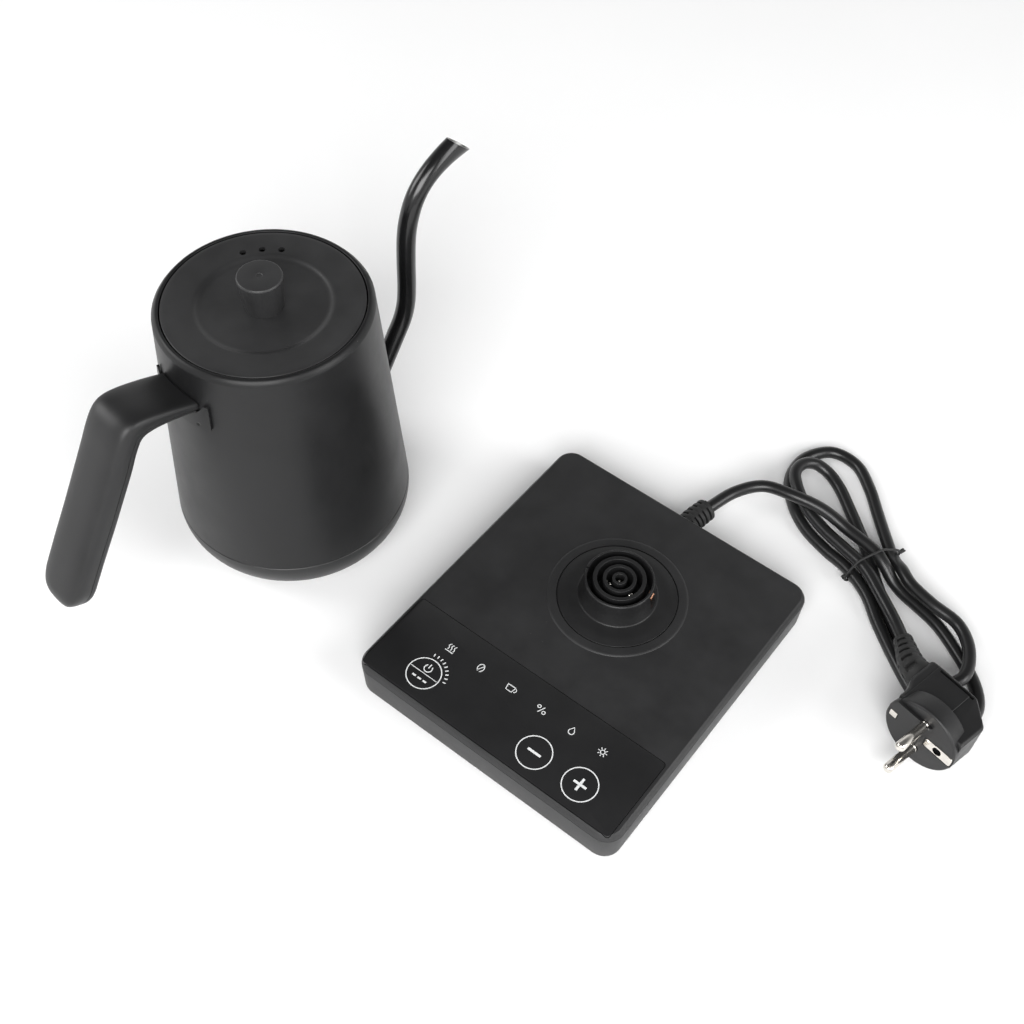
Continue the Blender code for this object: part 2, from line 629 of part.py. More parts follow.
def touch_panel(looks, frame):
    panel = block(PANEL_X, PANEL_Y, (BASE_TOP - PANEL_THICK, BASE_TOP), 1.8, 2)
    add("touch_panel", panel, looks["panel_gloss"], frame)
    board = block((-57.0, 57.0), (-66.0, -40.0), (BASE_TOP - SHELL - GAP - 1.5, BASE_TOP - SHELL - GAP), 1.0)
    add("touch_board", board, looks["board_green"], frame)


def radial(angle_degrees, radius, across, z):
    """A point beside the connector's axis, at a radius along an azimuth and a step across it."""
    angle = math.radians(angle_degrees)
    return (CONNECTOR[0] + radius * math.cos(angle) - across * math.sin(angle),
            CONNECTOR[1] + radius * math.sin(angle) + across * math.cos(angle), z)


def connector(looks, frame):
    """Round plug of the base, which lets the kettle be set down at any angle."""
    profile = [(CENTRE_HOLE, 10.0), (CENTRE_HOLE, BOSS_TOP)]
    for inner, outer in reversed(GROOVES):
        profile += [(inner, BOSS_TOP), (inner, GROOVE_FLOOR), (outer, GROOVE_FLOOR), (outer, BOSS_TOP)]
    profile += [(BOSS_RADIUS - 0.6, BOSS_TOP), (BOSS_RADIUS, BOSS_TOP - 0.6), (BOSS_RADIUS + 0.1, 27.5),
                (BOSS_RADIUS + 0.8, 24.8), (19.2, 22.9), (22.8, FLANGE_Z + 0.2), (FLANGE_RADIUS, FLANGE_Z),
                (FLANGE_RADIUS, 20.7), (20.0, 20.7), (20.0, 14.0), (17.0, 10.0)]
    boss = add("connector_boss", moved(lathe(profile), (*CONNECTOR, 0)), looks["black_plastic"], frame)
    slot = [[radial(EARTH_AZIMUTH, radius, across, z) for radius, across in ((14.0, -2.3), (20.0, -2.3),
                                                                         (20.0, 2.3), (14.0, 2.3))]
            for z in (25.5, 33.6)]
    combine(boss, loft(slot), 'DIFFERENCE')

    for name, radii, start, stop in (("contact_strip_outer", (9.7, 10.2), -55.0, 15.0),
                                     ("contact_strip_inner", (5.4, 5.9), -160.0, -80.0)):
        rings = []
        for step in range(9):
            angle = start + (stop - start) * step / 8
            rings.append([radial(angle, radii[i], 0, z)
                          for i, z in ((0, GROOVE_FLOOR + GAP), (1, GROOVE_FLOOR + GAP), (1, 34.2), (0, 34.2))])
        add(name, loft(rings), looks["nickel"], frame)
    pin = lathe([(0, 10.5), (1.9, 10.5), (1.9, 14.0), (1.1, 14.0), (1.1, 33.0), (0, 34.0)], 12, closed=False)
    add("contact_pin", moved(pin, (*CONNECTOR, 0)), looks["nickel"], frame)

    leaf = [(14.1, GROOVE_FLOOR + GAP), (14.2, 27.6), (15.7, 29.3), (17.2, 31.0), (16.5, 32.4), (14.6, 33.2)]
    back = [(14.5, 32.6), (16.0, 32.0), (16.5, 31.1), (15.2, 29.7), (13.7, 27.9), (13.6, GROOVE_FLOOR + GAP)]
    sides = [[radial(EARTH_AZIMUTH, radius, across, z) for radius, z in leaf + back] for across in (-1.7, 1.7)]
    earth_frame = frame_at("earth_contact_frame", radial(EARTH_AZIMUTH, 14.0, 0, 29.0), frame)
    contact = moved(loft(sides), [-value for value in radial(EARTH_AZIMUTH, 14.0, 0, 29.0)])
    add("earth_contact", contact, looks["copper"], earth_frame)


def electronics(looks, frame):
    """What the base holds: the mains board with its relay, transformer, capacitor and sounder."""
    board_top = FLOOR_Z + 2.0 + GAP + 1.5
    add("control_board", block((-64.0, -24.0), (-30.0, 60.0), (FLOOR_Z + 2.0 + GAP, board_top), 1.0),
        looks["board_green"], frame)
    seat = board_top + GAP
    add("relay", block((-59.0, -42.0), (-20.0, -3.0), (seat, 17.6), 0.8), looks["black_plastic"], frame)
    add("transformer", block((-60.0, -39.0), (8.0, 29.0), (seat, 16.8), 0.8), looks["brass"], frame)
    add("filter_capacitor", cylinder(5.0, seat, 16.6, (-33.0, 45.0)), looks["aluminium"], frame)
    add("buzzer", cylinder(6.0, seat, 13.0, (-50.0, 46.0)), looks["black_plastic"], frame)


# ---------------------------------------------------------------- cord, tie and plug

def cord_route():
    """The cord as it lies: off the base, across the hank, three times through the tie, to the plug."""
    return [Vector(point) for point in (
        (3.0, 98.3, 11.7), (8.5, 114.5, 13.1), (18.5, 125.5, 15.2), (34.0, 128.5, 16.8), (49.5, 131.0, 15.5),
        (65.0, 130.5, 12.2), (80.5, 127.7, 12.1), (88.0, 125.0, 10.3), (96.0, 122.2, 5.4), (104.0, 120.0, 3.4),
        (112.5, 118.0, 3.3), (125.5, 114.0, 3.3),
        (139.5, 106.0, 3.3), (152.0, 97.0, 3.3), (159.5, 87.5, 3.3), (160.8, 77.5, 3.3), (155.5, 69.8, 3.3),
        (146.5, 68.3, 3.3), (137.0, 72.0, 3.3), (127.0, 78.0, 3.3), (114.0, 87.5, 3.3), (101.5, 97.5, 3.4),
        (89.5, 107.5, 4.8), (75.0, 115.0, 4.8), (60.0, 119.5, 3.3), (45.0, 125.0, 3.3), (32.0, 135.0, 3.3),
        (23.0, 148.0, 3.3), (22.0, 163.5, 3.3), (31.0, 176.5, 3.3), (45.5, 177.0, 3.3), (58.5, 167.5, 3.3),
        (69.5, 156.0, 3.3), (80.0, 144.5, 4.2), (90.0, 134.0, 5.4), (97.0, 127.6, 9.6), (104.5, 122.3, 10.3),
        (118.0, 118.7, 9.8), (133.0, 116.5, 9.0), (144.0, 105.5, 9.8), (148.0, 90.5, 10.0), (139.0, 82.5, 6.4),
        (125.0, 89.0, 3.4), (112.0, 98.0, 3.3), (99.5, 108.0, 3.9), (87.5, 119.0, 5.0), (77.0, 131.0, 4.6),
        (65.5, 142.0, 3.3), (54.5, 151.5, 3.3), (46.0, 158.2, 3.5), (37.0, 161.8, 5.2), (29.0, 160.3, 8.0),
        (24.6, 153.8, 9.7), (26.3, 144.8, 10.0), (38.0, 133.8, 9.4), (52.5, 126.5, 8.8), (67.5, 121.5, 9.7),
        (82.5, 116.0, 11.2), (96.0, 107.5, 10.4), (109.0, 98.0, 10.4), (118.6, 88.6, 12.3))]


def power_cord(looks, frame):
    """A plain round cord; its sections sit along a smooth curve through the route."""
    path = smooth_path(cord_route(), 11.4)
    curve = bpy.data.curves.new("power_cord", 'CURVE')
    curve.dimensions = '3D'
    curve.bevel_depth = CORD_RADIUS * MM
    curve.bevel_resolution = 2
    curve.use_fill_caps = True
    spline = curve.splines.new('POLY')
    spline.points.add(len(path) - 1)
    for slot, point in zip(spline.points, path):
        slot.co = (*(point * MM), 1.0)
    curve.materials.append(looks["cord_vinyl"])
    cord = bpy.data.objects.new("power_cord", curve)
    bpy.context.collection.objects.link(cord)
    cord.parent = frame


def stepped_sweep(path, profile, steps=SMALL_STEPS):
    """Round sections whose radius follows (distance, radius) pairs along a path."""
    lengths = [0.0]
    for one, other in zip(path, path[1:]):
        lengths.append(lengths[-1] + (other - one).length)
    bearings = directions(path)
    points = []
    tangents = []
    for distance, _radius in profile:
        index = max(i for i in range(len(path) - 1) if lengths[i] <= distance + 1e-6)
        part = (distance - lengths[index]) / (lengths[index + 1] - lengths[index])
        points.append(path[index].lerp(path[index + 1], part))
        tangents.append(bearings[index].lerp(bearings[index + 1], part).normalized())
    return round_sweep(points, tangents, [radius for _distance, radius in profile], steps)


def ribs(start, count, pitch, outer, inner):
    """(distance, radius) pairs of evenly spaced ribs with slots between them."""
    pairs = []
    for number in range(count):
        near = start + number * pitch
        pairs += [(near, inner[number]), (near + 0.25, outer[number]), (near + 0.6 * pitch, outer[number]),
                  (near + 0.6 * pitch + 0.25, inner[number])]
    return pairs


def base_strain_relief(looks, frame):
    """Ribbed sleeve that holds the cord in the back wall of the base."""
    path = smooth_path([Vector(point) for point in ((RELIEF_X, 74.0, RELIEF_Z), (RELIEF_X, 82.0, RELIEF_Z),
                                                   (1.3, 89.0, RELIEF_Z), (2.9, 97.8, 11.7))], 1.0)
    collar = [(0.0, 6.0), (0.6, 6.4), (3.6, 6.4), (4.0, 5.1), (8.2, 5.1)]
    sleeve = collar + ribs(8.4, 5, 3.0, [6.2] * 5, [5.0] * 5)
    add("base_strain_relief", stepped_sweep(path, sleeve), looks["rubber"], frame)


def plug_strain_relief(looks, frame, plug_turn):
    """Slotted, tapered sleeve that bends from the side of the plug down to the cord."""
    out = -(plug_turn @ Vector((0.0, 1.0, 0.0)))
    root = Vector(PLUG_FACE) + plug_turn @ Vector((-2.5, -18.7 - GAP, -23.8))
    end = cord_route()[-1]
    inward = (cord_route()[-2] - end).normalized()
    end = end - 0.5 * inward
    path = interpolate_bezier(root, root + 7.0 * out, end - 7.0 * inward, end, 40)
    total = sum((b - a).length for a, b in zip(path, path[1:]))
    outer = [6.3 - 0.45 * number for number in range(5)]
    inner = [5.3 - 0.35 * number for number in range(5)]
    sleeve = [(0.0, 6.4), (2.0, 6.4)] + ribs(2.4, 5, (total - 4.0) / 5, outer, inner) + [(total, 4.2)]
    add("plug_strain_relief", stepped_sweep(path, sleeve), looks["rubber"], frame)


def cord_tie(looks, frame):
    """Thin wire tie about the five strands, upright across the hank."""
    along = Vector((0.43, 0.90, 0.0)).normalized()
    middle = Vector((84.0, 125.7, 0.0))
    loop = [(-13.4, 0.7), (-1.5, 0.7), (10.3, 0.8), (13.5, 2.2), (14.9, 5.2), (13.0, 8.8), (3.4, 15.2),
            (0.8, 16.0), (-9.5, 15.4), (-13.2, 13.5), (-17.1, 7.3), (-17.7, 4.8), (-16.4, 1.8)]
    curve = bpy.data.curves.new("cord_tie", 'CURVE')
    curve.dimensions = '3D'
    curve.bevel_depth = 0.55 * MM
    curve.bevel_resolution = 1
    spline = curve.splines.new('POLY')
    spline.use_cyclic_u = True
    spline.points.add(len(loop) - 1)
    for slot, (distance, z) in zip(spline.points, loop):
        slot.co = (*((middle + distance * along + Vector((0.0, 0.0, z))) * MM), 1.0)
    curve.materials.append(looks["rubber"])
    tie = bpy.data.objects.new("cord_tie", curve)
    bpy.context.collection.objects.link(tie)
    tie.parent = frame


def plug(looks, frame):
    """Angled earthed wall plug; in its own frame the pins point along +Z and the cord leaves along -Y."""
    disc = lathe([(0, 0), (18.0, 0), (18.3, -0.4), (18.1, -2.0), (17.2, -9.0), (0, -9.0)], 32, closed=False)
    body = add("plug_body", disc, looks["black_plastic"], frame)
    outline = [(17.2, -4.0), (17.2, -21.5), (10.0, -30.8), (-14.0, -30.8), (-18.7, -30.2), (-18.7, -17.0),
               (-15.5, -9.0), (-15.5, -4.0)]
    levels = [(-11.0, 0.93), (-9.6, 1.0), (7.8, 1.0), (9.2, 0.93)]
    middle = (0.0, -18.0)
    trunk = [[(x, middle[0] + size * (y - middle[0]), middle[1] + size * (z - middle[1])) for y, z in outline]
             for x, size in levels]
    combine(body, loft(trunk), 'UNION')
    cuts = [block((-3.0, 3.0), (3.0, 20.0), (-0.9, 2.0)), block((-2.2, 2.2), (-16.7, -12.3), (-0.9, 2.0)),
            block((-5.0, 5.0), (-21.0, -17.1), (-13.0, 2.0))]
    cuts += [cylinder(2.3, -14.0, 0.5, (0, 10.0)), *(cylinder(PIN_RADIUS + GAP, -12.0, 2.0, (side, 0))
                                                     for side in (-PIN_SPACING / 2, PIN_SPACING / 2))]
    combine(body, merged(cuts[:3]), 'DIFFERENCE')
    combine(body, merged(cuts[3:]), 'DIFFERENCE')

    tip = [(0, -11.7), (PIN_RADIUS, -11.7), (PIN_RADIUS, PIN_LENGTH - 2.2)]
    tip += [(PIN_RADIUS * math.cos(angle), PIN_LENGTH - 2.2 + 2.2 * math.sin(angle))
            for angle in (math.radians(30), math.radians(60))]
    tip.append((0, PIN_LENGTH))
    for number, side in enumerate((-PIN_SPACING / 2, PIN_SPACING / 2), 1):
        pin = moved(lathe(tip, SMALL_STEPS, closed=False), (side, 0, 0))
        add(f"plug_pin_{number}", pin, looks["nickel"], frame)

    strip = add("plug_earth_clip_1", block((-2.7, 2.7), (3.3, 16.8), (-0.6, 0.1), 1.2, 3), looks["nickel"], frame)
    combine(strip, cylinder(2.2, -3.0, 3.0, (0, 10.0)), 'DIFFERENCE')
    add("plug_earth_clip_2", block((-1.9, 1.9), (-16.4, -12.6), (-0.6, 0.1), 0.4), looks["nickel"], frame)


# ---------------------------------------------------------------- assembly

def build():
    for thing in list(bpy.data.objects):
        bpy.data.objects.remove(thing, do_unlink=True)
    looks = make_looks()

    kettle_turn = Matrix.Rotation(math.radians(HANDLE_AZIMUTH), 3, 'Z')
    kettle_frame = frame_at("kettle_frame", (*KETTLE_CENTRE, 0), turn=kettle_turn)
    kettle_body(looks, kettle_frame)
    bottom_cover(looks, kettle_frame)
    bottom_screws(looks, kettle_frame)
    heater_stack(looks, kettle_frame)
    kettle_socket(looks, kettle_frame)
    spout(looks, kettle_frame)
    handle(looks, kettle_frame)
    lid(looks, frame_at("lid_frame", (0, 0, 0), kettle_frame))

    base_frame = frame_at("base_frame", (*BASE_CENTRE, 0))
    base_shells(looks, base_frame)
    base_fasteners(looks, base_frame)
    touch_panel(looks, base_frame)
    connector(looks, base_frame)
    electronics(looks, base_frame)
    base_strain_relief(looks, base_frame)

    power_cord(looks, base_frame)
    cord_tie(looks, base_frame)
    pins = Vector(PIN_DIRECTION).normalized()
    side = Vector(CABLE_SIDE)
    side = (side - side.dot(pins) * pins).normalized()
    plug_turn = Matrix((side.cross(pins), side, pins)).transposed()
    plug(looks, frame_at("plug_frame", PLUG_FACE, base_frame, plug_turn))
    plug_strain_relief(looks, base_frame, plug_turn)


build()
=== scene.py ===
"""Looks of the gooseneck kettle, its power base, the cord, the wire tie and the wall plug.

Shapes are laid out in millimetres in the frame of the kettle or of the base, and become
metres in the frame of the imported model.
"""
from math import atan2, cos, exp, hypot, pi, radians, sin, sqrt, tau

import bmesh
import bpy
from mathutils import Matrix, Vector
from mathutils.geometry import interpolate_bezier


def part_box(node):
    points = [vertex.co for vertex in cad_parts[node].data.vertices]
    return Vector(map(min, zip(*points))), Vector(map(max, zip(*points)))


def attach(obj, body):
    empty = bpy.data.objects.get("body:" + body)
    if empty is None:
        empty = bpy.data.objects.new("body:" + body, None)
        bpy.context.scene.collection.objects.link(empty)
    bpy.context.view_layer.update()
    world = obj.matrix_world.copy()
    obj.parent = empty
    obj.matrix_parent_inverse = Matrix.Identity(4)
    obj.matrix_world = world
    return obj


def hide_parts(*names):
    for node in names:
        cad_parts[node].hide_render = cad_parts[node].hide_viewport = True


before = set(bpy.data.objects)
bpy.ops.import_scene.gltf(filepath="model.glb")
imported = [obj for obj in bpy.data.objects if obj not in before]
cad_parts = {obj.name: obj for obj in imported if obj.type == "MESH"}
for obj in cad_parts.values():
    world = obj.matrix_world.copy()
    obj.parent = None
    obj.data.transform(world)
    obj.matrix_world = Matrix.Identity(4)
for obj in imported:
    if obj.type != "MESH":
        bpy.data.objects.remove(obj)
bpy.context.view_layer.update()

MM = 0.001
UP = Vector((0.0, 0.0, 1.0))
DOWN = Vector((0, 0, -1))
GAP = 0.3
ROUND = 144              # sides of the large turned pieces
SMALL = 48               # sides of the small turned pieces
HANDLE_AZIMUTH = -97.0

# Kettle
RIM_RADIUS = 47.4
RIM_Z = 143.0
BELLY_RADIUS = 56.45
BELLY_Z = 22.0
FOOT_RADIUS = 34.45
COVER_TOP = 24.4
WALL = 1.0
LIP_RADIUS = 44.3
LID_RADIUS = 43.8
TUBE_RADIUS = 4.5
GRIP_WIDTH = 25.4
ROOT_THICK = 6.4
GRIP_THICK = 13.2
GROWN_AT = 40.0          # distance from the root where the grip has its full depth
BEND_AT = 39.0
END_LENGTH = 15.0        # stretch over which the grip narrows to its round end
END_DEPTH = 9.0          # and over which it thins
SENSOR_X = 22.0

# Base
BASE_X = 143.3
BASE_Y = 162.9
BASE_TOP = 21.25
SEAM_Z = 18.1
PANEL_X = (-69.0, 68.0)
PANEL_Y = (-79.0, -36.0)
SYMBOL_ROW = -48.4       # place of the programme symbols on the panel
CORNER = 9.0
CONNECTOR = (1.2, 21.7)
BOSS_TOP = 35.9
GROOVES = ((12.4, 15.2), (7.8, 10.5), (3.5, 6.2))
GROOVE_FLOOR = 24.2
FLANGE_RADIUS = 28.4
EARTH_AZIMUTH = 12.0

# Camera: place over the base, turn in degrees, lens in millimetres
CAMERA_PLACE = Vector((174.716, -295.110, 555.093))
CAMERA_TURN = (37.1825, -0.9817, 38.0136)
CAMERA_LENS = 48.24

# Cord and plug
CORD_RADIUS = 3.1
PLUG_FACE = Vector((146.7, 45.8, 18.6))
PIN_DIRECTION = Vector((-0.201, -0.974, 0.060)).normalized()
CABLE_SIDE = Vector((0.979, -0.202, 0.0))
CABLE_EXIT = Vector((-2.5, -18.4, -23.8))    # in the plug's own frame

# Studio
SKY_LOW = 0.90           # strength of the sky by the horizon
SKY_HIGH = 0.16          # and overhead
FLOOR_REACH = 6.0


def centre_of(node):
    low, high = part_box(node)
    return (low + high) / 2


def standing(point, turn=0.0):
    """Millimetre frame that stands on the floor under a point."""
    place = Matrix.Translation((point.x, point.y, 0.0))
    return place @ Matrix.Rotation(radians(turn), 4, 'Z') @ Matrix.Scale(MM, 4)


KETTLE = standing(centre_of("heater_plate"), HANDLE_AZIMUTH)
BASE = standing(centre_of("base_lower_housing"))
PLACES = {"kettle": KETTLE, "lid": KETTLE, "base": BASE, "earth_contact": BASE}


def added(name, data):
    """New object in the scene."""
    thing = bpy.data.objects.new(name, data)
    bpy.context.scene.collection.objects.link(thing)
    return thing


# ---------------------------------------------------------------- camera

def make_camera():
    data = bpy.data.cameras.new("photo_camera")
    data.lens = CAMERA_LENS
    data.sensor_width = 36.0
    data.clip_start = 0.01
    data.clip_end = 50.0
    camera = added("photo_camera", data)
    camera.location = BASE @ CAMERA_PLACE
    camera.rotation_euler = [radians(a) for a in CAMERA_TURN]
    bpy.context.scene.camera = camera


make_camera()


# ---------------------------------------------------------------- materials

DUST = (0.25, 0.25, 0.24, 1.0)
GLOSS_SPREAD = 0.12


def shade(colour, factor):
    return (*(min(1.0, channel * factor) for channel in colour), 1.0)


def surface(name, colour, rough, metallic=0.0, spread=0.18, mottle=45.0, grain=2600.0, bump=0.04,
            depth=0.00008, stretch=(1, 1, 1), specks=0.0, specular=0.5):
    """Principled material with mottled colour, uneven gloss and a grained surface."""
    material = bpy.data.materials.new(name)
    material.use_nodes = True
    tree = material.node_tree
    link = tree.links.new

    def node(kind, source=None, **values):
        made = tree.nodes.new("ShaderNode" + kind)
        for socket, value in values.items():
            made.inputs[socket.replace("_", " ")].default_value = value
        if source:
            link(source, made.inputs[0])
        return made

    def blend(share, one, other):
        """Mix of two colours; each is a colour or the output of a node."""
        mix = node("Mix")
        mix.data_type = 'RGBA'
        link(share, mix.inputs[0])
        for socket, value in ((mix.inputs[6], one), (mix.inputs[7], other)):
            if isinstance(value, tuple):
                socket.default_value = value
            else:
                link(value, socket)
        return mix.outputs[2]

    shader = tree.nodes["Principled BSDF"]
    shader.inputs["Metallic"].default_value = metallic
    shader.inputs["Specular IOR Level"].default_value = specular
    place = node("TexCoord").outputs["Object"]
    mapping = node("Mapping", place, Scale=stretch).outputs["Vector"]
    cloud = node("TexNoise", mapping, Scale=mottle, Detail=5.0, Roughness=0.6).outputs["Fac"]
    fine = node("TexNoise", mapping, Scale=grain, Detail=3.0, Roughness=0.55).outputs["Fac"]
    sharper = node("MapRange", cloud, From_Min=0.3, From_Max=0.7).outputs["Result"]
    tint = blend(sharper, shade(colour, 1 - spread), shade(colour, 1 + spread))
    if specks:
        dust = node("TexVoronoi", place, Scale=240.0).outputs["Distance"]
        near = node("MapRange", dust, From_Min=0.045, From_Max=0.02, To_Min=0.0, To_Max=specks)
        patchy = node("TexNoise", place, Scale=60.0).outputs["Fac"]
        here = node("MapRange", patchy, From_Min=0.58, From_Max=0.64)
        both = node("Math", near.outputs["Result"])
        both.operation = 'MULTIPLY'
        link(here.outputs["Result"], both.inputs[1])
        tint = blend(both.outputs["Value"], tint, DUST)
    link(tint, shader.inputs["Base Color"])
    gloss = node("MapRange", cloud, From_Min=0.3, From_Max=0.7,
                 To_Min=rough * (1 - GLOSS_SPREAD), To_Max=rough * (1 + GLOSS_SPREAD))
    link(gloss.outputs["Result"], shader.inputs["Roughness"])
    relief = node("Bump", Strength=bump, Distance=depth)
    link(fine, relief.inputs["Height"])
    link(relief.outputs["Normal"], shader.inputs["Normal"])
    return material


LOOKS = {
    "body_paint": surface("satin_body_paint", (0.0080, 0.0080, 0.0084), 0.40, grain=1900.0, bump=0.16,
                          specks=0.5, specular=0.30),
    "lid_paint": surface("satin_lid_paint", (0.0190, 0.0190, 0.0196), 0.42, grain=2300.0, bump=0.18,
                         specks=0.5),
    "spout_paint": surface("gloss_spout_paint", (0.0055, 0.0055, 0.0058), 0.22, grain=1500.0, bump=0.05),
    "black_plastic": surface("moulded_black_plastic", (0.0100, 0.0100, 0.0104), 0.42, grain=3800.0, bump=0.22,
                             specular=0.42),
    "base_plastic": surface("charcoal_plastic", (0.0190, 0.0190, 0.0196), 0.46, grain=3400.0, bump=0.25,
                            specks=0.35, specular=0.42),
    "panel_gloss": surface("panel_film", (0.0110, 0.0110, 0.0115), 0.30, mottle=30.0, grain=1200.0,
                           bump=0.02),
    "rubber": surface("matt_rubber", (0.0120, 0.0120, 0.0120), 0.62, grain=3000.0, bump=0.3, depth=0.0001),
    "cord_vinyl": surface("satin_vinyl", (0.0085, 0.0085, 0.0088), 0.34, grain=1400.0, bump=0.12),
    "silicone": surface("silicone_rubber", (0.42, 0.42, 0.41), 0.55, spread=0.06, bump=0.1),
    "steel": surface("brushed_steel", (0.62, 0.61, 0.60), 0.26, 1.0, 0.08, 120.0, 900.0, 0.10,
                     stretch=(1, 1, 7)),
    "aluminium": surface("cast_aluminium", (0.66, 0.67, 0.68), 0.42, 1.0, 0.10, 160.0, 1800.0, 0.3),
    "nickel": surface("nickel_plate", (0.74, 0.71, 0.66), 0.17, 1.0, 0.06, 300.0, 1400.0, 0.05),
    "brass": surface("drawn_brass", (0.72, 0.52, 0.24), 0.28, 1.0, 0.10, 260.0, 1400.0, 0.1),
    "copper": surface("bright_copper", (0.86, 0.46, 0.30), 0.24, 1.0, 0.10, 260.0, 1400.0, 0.08),
    "board_green": surface("board_lacquer", (0.02, 0.12, 0.06), 0.45, spread=0.25, mottle=220.0),
}
INK = surface("printed_ink", (0.70, 0.71, 0.71), 0.55, spread=0.07, mottle=500.0, bump=0.1)
BARE_STEEL = surface("bare_steel", (0.34, 0.34, 0.33), 0.42, 1.0, spread=0.15, mottle=150.0)
DARK_DOT = surface("weld_mark", (0.004, 0.004, 0.004), 0.5, bump=0.1)


# ---------------------------------------------------------------- mesh tools

def place_object(name, mesh, materials, body, node=None, slot=None):
    for material in materials:
        mesh.materials.append(material)
    thing = added(name, mesh)
    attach(thing, body)
    if node:
        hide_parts(node)
    return thing


def piece(name, shape, slot, body, node, place=None, extra=(), sharp=32.0, cuts=()):
    """A shape in millimetres becomes a shown piece; cuts are shapes taken out of it or joined to it."""
    mesh = to_mesh(name, shape)
    if cuts:
        mesh = carved(mesh, cuts)
    mesh.transform(place or PLACES[body])
    mesh.shade_smooth()
    mesh.set_sharp_from_angle(angle=radians(sharp))
    return place_object(name, mesh, [LOOKS[slot], *extra], body, node, slot)


def to_mesh(name, shape):
    bmesh.ops.recalc_face_normals(shape, faces=shape.faces)
    mesh = bpy.data.meshes.new(name)
    shape.to_mesh(mesh)
    shape.free()
    return mesh


def carved(mesh, cuts):
    """Take shapes out of a mesh, or join them to it, with exact Booleans that are applied at once."""
    target = added("carving", mesh)
    helpers = []
    for operation, shape in cuts:
        helper = added("cutter", to_mesh("cutter", shape))
        modifier = target.modifiers.new("cut", 'BOOLEAN')
        modifier.operation = operation
        modifier.solver = 'EXACT'
        modifier.object = helper
        helpers.append(helper)
    graph = bpy.context.evaluated_depsgraph_get()
    done = bpy.data.meshes.new_from_object(target.evaluated_get(graph))
    done.materials.clear()
    for thing in (*helpers, target):
        bpy.data.objects.remove(thing)
    return done


def soften(points, default=0.3, steps=3, closed=True):
    """Round the corners of a flat polygon.  A point may carry its own radius after its two coordinates."""
    places = [Vector(p[:2]) for p in points]
    rounded = []
    count = len(points)
    for i, here in enumerate(places):
        radius = points[i][2] if len(points[i]) > 2 else default
        if radius == 0 or (not closed and i in (0, count - 1)):
            rounded.append(here)
            continue
        before = places[i - 1] - here
        after = places[(i + 1) % count] - here
        start = here + before.normalized() * min(radius, 0.45 * before.length)
        stop = here + after.normalized() * min(radius, 0.45 * after.length)
        for step in range(steps + 1):
            t = step / steps
            rounded.append(start.lerp(here, t).lerp(here.lerp(stop, t), t))
    return rounded


def lathe(profile, steps=ROUND, closed=True):
    shape = bmesh.new()
    verts = [shape.verts.new((p[0], 0.0, p[1])) for p in profile]
    pairs = list(zip(verts, verts[1:]))
    if closed:
        pairs.append((verts[-1], verts[0]))
    edges = [shape.edges.new(pair) for pair in pairs]
    bmesh.ops.spin(shape, geom=verts + edges, cent=(0, 0, 0), axis=(0, 0, 1),
                   angle=tau, steps=steps, use_merge=True)
    bmesh.ops.remove_doubles(shape, verts=shape.verts, dist=0.0005)
    return shape


def turned(profile, default=0.3, steps=ROUND, closed=True, rounds=3):
    return lathe(soften(profile, default, rounds, closed), steps, closed)


def polar(radius, degrees, centre=(0.0, 0.0)):
    return centre[0] + radius * cos(radians(degrees)), centre[1] + radius * sin(radians(degrees))


def corners(x, y):
    return [(x, y), (-x, y), (-x, -y), (x, -y)]


def moved(shape, offset=(0, 0, 0), turn=None):
    if turn:
        bmesh.ops.transform(shape, matrix=turn.to_4x4(), verts=shape.verts)
    bmesh.ops.translate(shape, vec=offset, verts=shape.verts)
    return shape


def cylinder(radius, low, high, centre=(0, 0), steps=SMALL):
    return moved(lathe([(0, low), (radius, low), (radius, high), (0, high)], steps, False), (*centre, 0))


def loft(rings, looped=False):
    shape = bmesh.new()
    loops = [[shape.verts.new(point) for point in ring] for ring in rings]
    pairs = list(zip(loops, loops[1:]))
    if looped:
        pairs.append((loops[-1], loops[0]))
    else:
        shape.faces.new(loops[0])
        shape.faces.new(loops[-1])
    count = len(rings[0])
    for one, other in pairs:
        for i in range(count):
            j = (i + 1) % count
            shape.faces.new((one[i], one[j], other[j], other[i]))
    return shape


def merged(shapes):
    whole = bmesh.new()
    for shape in shapes:
        mesh = to_mesh("part_shape", shape)
        whole.from_mesh(mesh)
        bpy.data.meshes.remove(mesh)
    return whole


def less(*shapes):
    """Shapes to be cut out of a piece, all at once."""
    return 'DIFFERENCE', merged(shapes)


def rounded_rectangle(half_x, half_y, corner, z, centre=(0, 0), corner_steps=12):
    points = []
    for quarter, (sx, sy) in enumerate(corners(1, 1)):
        for step in range(corner_steps + 1):
            angle = pi / 2 * (quarter + step / corner_steps)
            points.append((centre[0] + sx * (half_x - corner) + corner * cos(angle),
                           centre[1] + sy * (half_y - corner) + corner * sin(angle), z))
    return points


def slab(x, y, levels, corner=0.6, corner_steps=6):
    """A flat block; levels are (inset, z) pairs from one face to the other."""
    half = ((x[1] - x[0]) / 2, (y[1] - y[0]) / 2)
    centre = (x[0] + half[0], y[0] + half[1])
    return loft([rounded_rectangle(half[0] - inset, half[1] - inset, max(corner - inset, 0.05), z, centre,
                                   corner_steps) for inset, z in levels])


def eased_levels(low, high, ease=0.3):
    return [(ease, low), (ease * 0.3, low + ease * 0.3), (0, low + ease),
            (0, high - ease), (ease * 0.3, high - ease * 0.3), (ease, high)]


